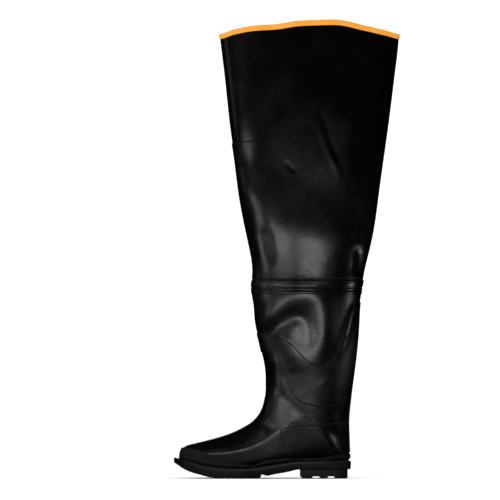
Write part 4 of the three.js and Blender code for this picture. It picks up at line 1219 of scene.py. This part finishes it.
# The heel block: stations along it, each a closed section of (side, inset, level), where level goes
# from the tread at 0 to the top at 1 and "edge" rows lie one edge above the tread.
heelParts = {"backMargin": 5.6, "sideMargin": 2.4, "gap": 0.3, "channel": 4, "edge": 0.9, "rounded": 0.70}
heelTread = columns("along cut", [
    (0.000, 1.3), (0.012, 0.8), (0.060, 0), (0.241, 0), (0.270, 1), (0.400, 1), (0.424, 0), (0.560, 0), (0.588, 1),
    (0.707, 1), (0.736, 0), (1.000, 0),
])
heelSection = columns("side inset level edge", [
    (-1, 0, 1, 0), (-1, 0, 0.5, 0), (-1, 0, 0, 1), (-1, 0.3, 0, 0.3), (-1, 1, 0, 0), (-0.3, 0, 0, 0), (0.3, 0, 0, 0),
    (1, 1, 0, 0), (1, 0.3, 0, 0.3), (1, 0, 0, 1), (1, 0, 0.5, 0), (1, 0, 1, 0), (0.3, 0, 1, 0), (-0.3, 0, 1, 0),
])


def makeHeel():
    part, section = heelParts, heelSection
    front, back = -last["heelFront"], last["heelEdge"] - part["backMargin"]
    arc = np.sin(np.linspace(0, np.pi / 2, 24))
    share = np.unique(np.concatenate([heelTread["along"][:-1], np.linspace(0.05, part["rounded"], 20),
                                      lerp(part["rounded"], 0.9995, arc)]))
    x = lerp(front, back, share)
    half = np.minimum(soleHalf(alongOf(x)), last["heelWidth"] / 2) - part["sideMargin"]
    past = np.clip((share - part["rounded"]) / (1 - part["rounded"]), 0, 1)
    half = np.where(past > 0, last["heelWidth"] / 2 - part["sideMargin"], half) * np.sqrt(1 - past ** 2.3)
    tread = np.interp(share, heelTread["along"], heelTread["cut"])[:, None] * part["channel"]
    top = last["heelHeight"] - part["gap"]
    y = section["side"] * np.maximum(half[:, None] - part["edge"] * section["inset"], 0.02)
    z = np.where(section["level"] > 0, lerp(tread, top, section["level"]), tread + part["edge"] * section["edge"])
    points = np.stack(np.broadcast_arrays(x[:, None], soleBend(alongOf(x))[:, None] + y, z), axis=-1)
    rows, cols = points.shape[:2]
    faces = gridFaces(rows, cols, True).reshape(-1, 4)
    caps = np.array([np.arange(cols), (rows - 1) * cols + np.arange(cols)[::-1]])
    heel = addMesh("heel_block", points.reshape(-1, 3), [faces[:, ::-1], caps], soleRubber, sharp=38, merge=True)
    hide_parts("heel")


makeHeel()
print("heel made")

# Insole: a plate with a rounded edge on the upper's turned-in margin.

insoleParts = {"inset": 10, "thick": 3, "lift": 2.7}


def makeInsole():
    part = insoleParts

    def low(along):
        return seatHeight(along) + part["lift"]

    def high(along):
        return low(along) + part["thick"]
    profile = [(part["inset"] + 1, 0), (part["inset"], 0.3), (part["inset"], 0.7), (part["inset"] + 1, 1)]
    points, sets = soleBody(low, high, profile, 200, 16)
    insole = addMesh("insole_pad", points, sets, liningCloth, sharp=60, merge=True)
    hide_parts("insole")


makeInsole()
print("insole made")

# Floor, light and camera

studio = {"floor": 60, "floorColour": 0.84, "eye": (-0.129, -12, 0.2), "aim": (-0.129, 0, 0.3994), "view": 0.875,
          "daylight": 1.25, "gloss": 0.004}
# Each light: where it stands, what it faces, how wide and high it is, in metres, and its power.
lights = {
    "frontWall": ((-0.06, -2.0, 0.22), (-0.06, 0, 0.22), (2.2, 0.44), 0.62),
    "frontKey": ((-0.02, -0.6, 0.270), (-0.02, 0, 0.270), (0.26, 0.11), 0.62),
    "frontLeft": ((-0.37, -0.56, 0.265), (-0.05, 0, 0.265), (0.30, 0.12), 0.55),
    "highLeft": ((-1.8, -1.5, 1.5), (-0.1, 0, 0.1), (1.2, 0.9), 2.2),
    "leftLow": ((-1.40, -0.80, 0.22), (-0.05, 0, 0.22), (0.30, 0.38), 1.0),
    "leftHigh": ((-1.60, -0.05, 0.76), (-0.05, 0, 0.60), (0.30, 0.60), 0.25),
    "right": ((0.34, -0.16, 0.232), (0.05, -0.04, 0.232), (0.06, 0.07), 0.12),
    "backWall": ((-0.1, 2.5, 0.33), (-0.1, 0, 0.33), (1.2, 0.66), 1.5),
}


# Places a lamp or camera and turns it to face what it aims at.
def turned(piece, place, aim):
    piece.location = place
    piece.rotation_euler = (Vector(aim) - Vector(place)).to_track_quat("-Z", "Y").to_euler()
    bpy.context.scene.collection.objects.link(piece)


def makeStudio():
    part = studio
    half = part["floor"] / 2
    material, _, shader = newMaterial("floorPaint")
    shader.inputs["Base Color"].default_value = (part["floorColour"],) * 3 + (1,)
    shader.inputs["Roughness"].default_value = 0.9
    shader.inputs["Specular IOR Level"].default_value = 0
    mesh = bpy.data.meshes.new("studio_floor")
    mesh.from_pydata([(-half, -half, 0), (half, -half, 0), (half, half, 0), (-half, half, 0)], [], [(0, 1, 2, 3)])
    mesh.materials.append(material)
    floor = bpy.data.objects.new("studio_floor", mesh)
    bpy.context.scene.collection.objects.link(floor)
    floor.visible_glossy = False

    # The world is white to the camera and to diffuse light, and dark in reflections.
    world = bpy.data.worlds.new("studio")
    bpy.context.scene.world = world
    world.use_nodes = True
    tree = world.node_tree
    path = node(tree, "LightPath")
    shade = node(tree, "MapRange", {"Value": (path, "Is Glossy Ray"), "To Min": part["daylight"],
                                    "To Max": part["gloss"]})
    tree.links.new(shade.outputs["Result"], tree.nodes["Background"].inputs["Strength"])
    tree.nodes["Background"].inputs["Color"].default_value = (1, 1, 1, 1)

    for name, (place, aim, size, power) in lights.items():
        light = bpy.data.lights.new(name, "AREA")
        light.shape = "RECTANGLE"
        light.size, light.size_y = size
        light.energy = power
        lamp = bpy.data.objects.new(name, light)
        lamp.visible_camera = False
        turned(lamp, place, aim)

    camera = bpy.data.cameras.new("camera")
    camera.sensor_width = 36
    camera.lens = 36 * -part["eye"][1] / part["view"]
    camera.clip_end = 200
    eye = bpy.data.objects.new("camera", camera)
    turned(eye, part["eye"], part["aim"])
    bpy.context.scene.camera = eye
    bpy.context.scene.view_settings.view_transform = "Standard"


makeStudio()
print("studio made")
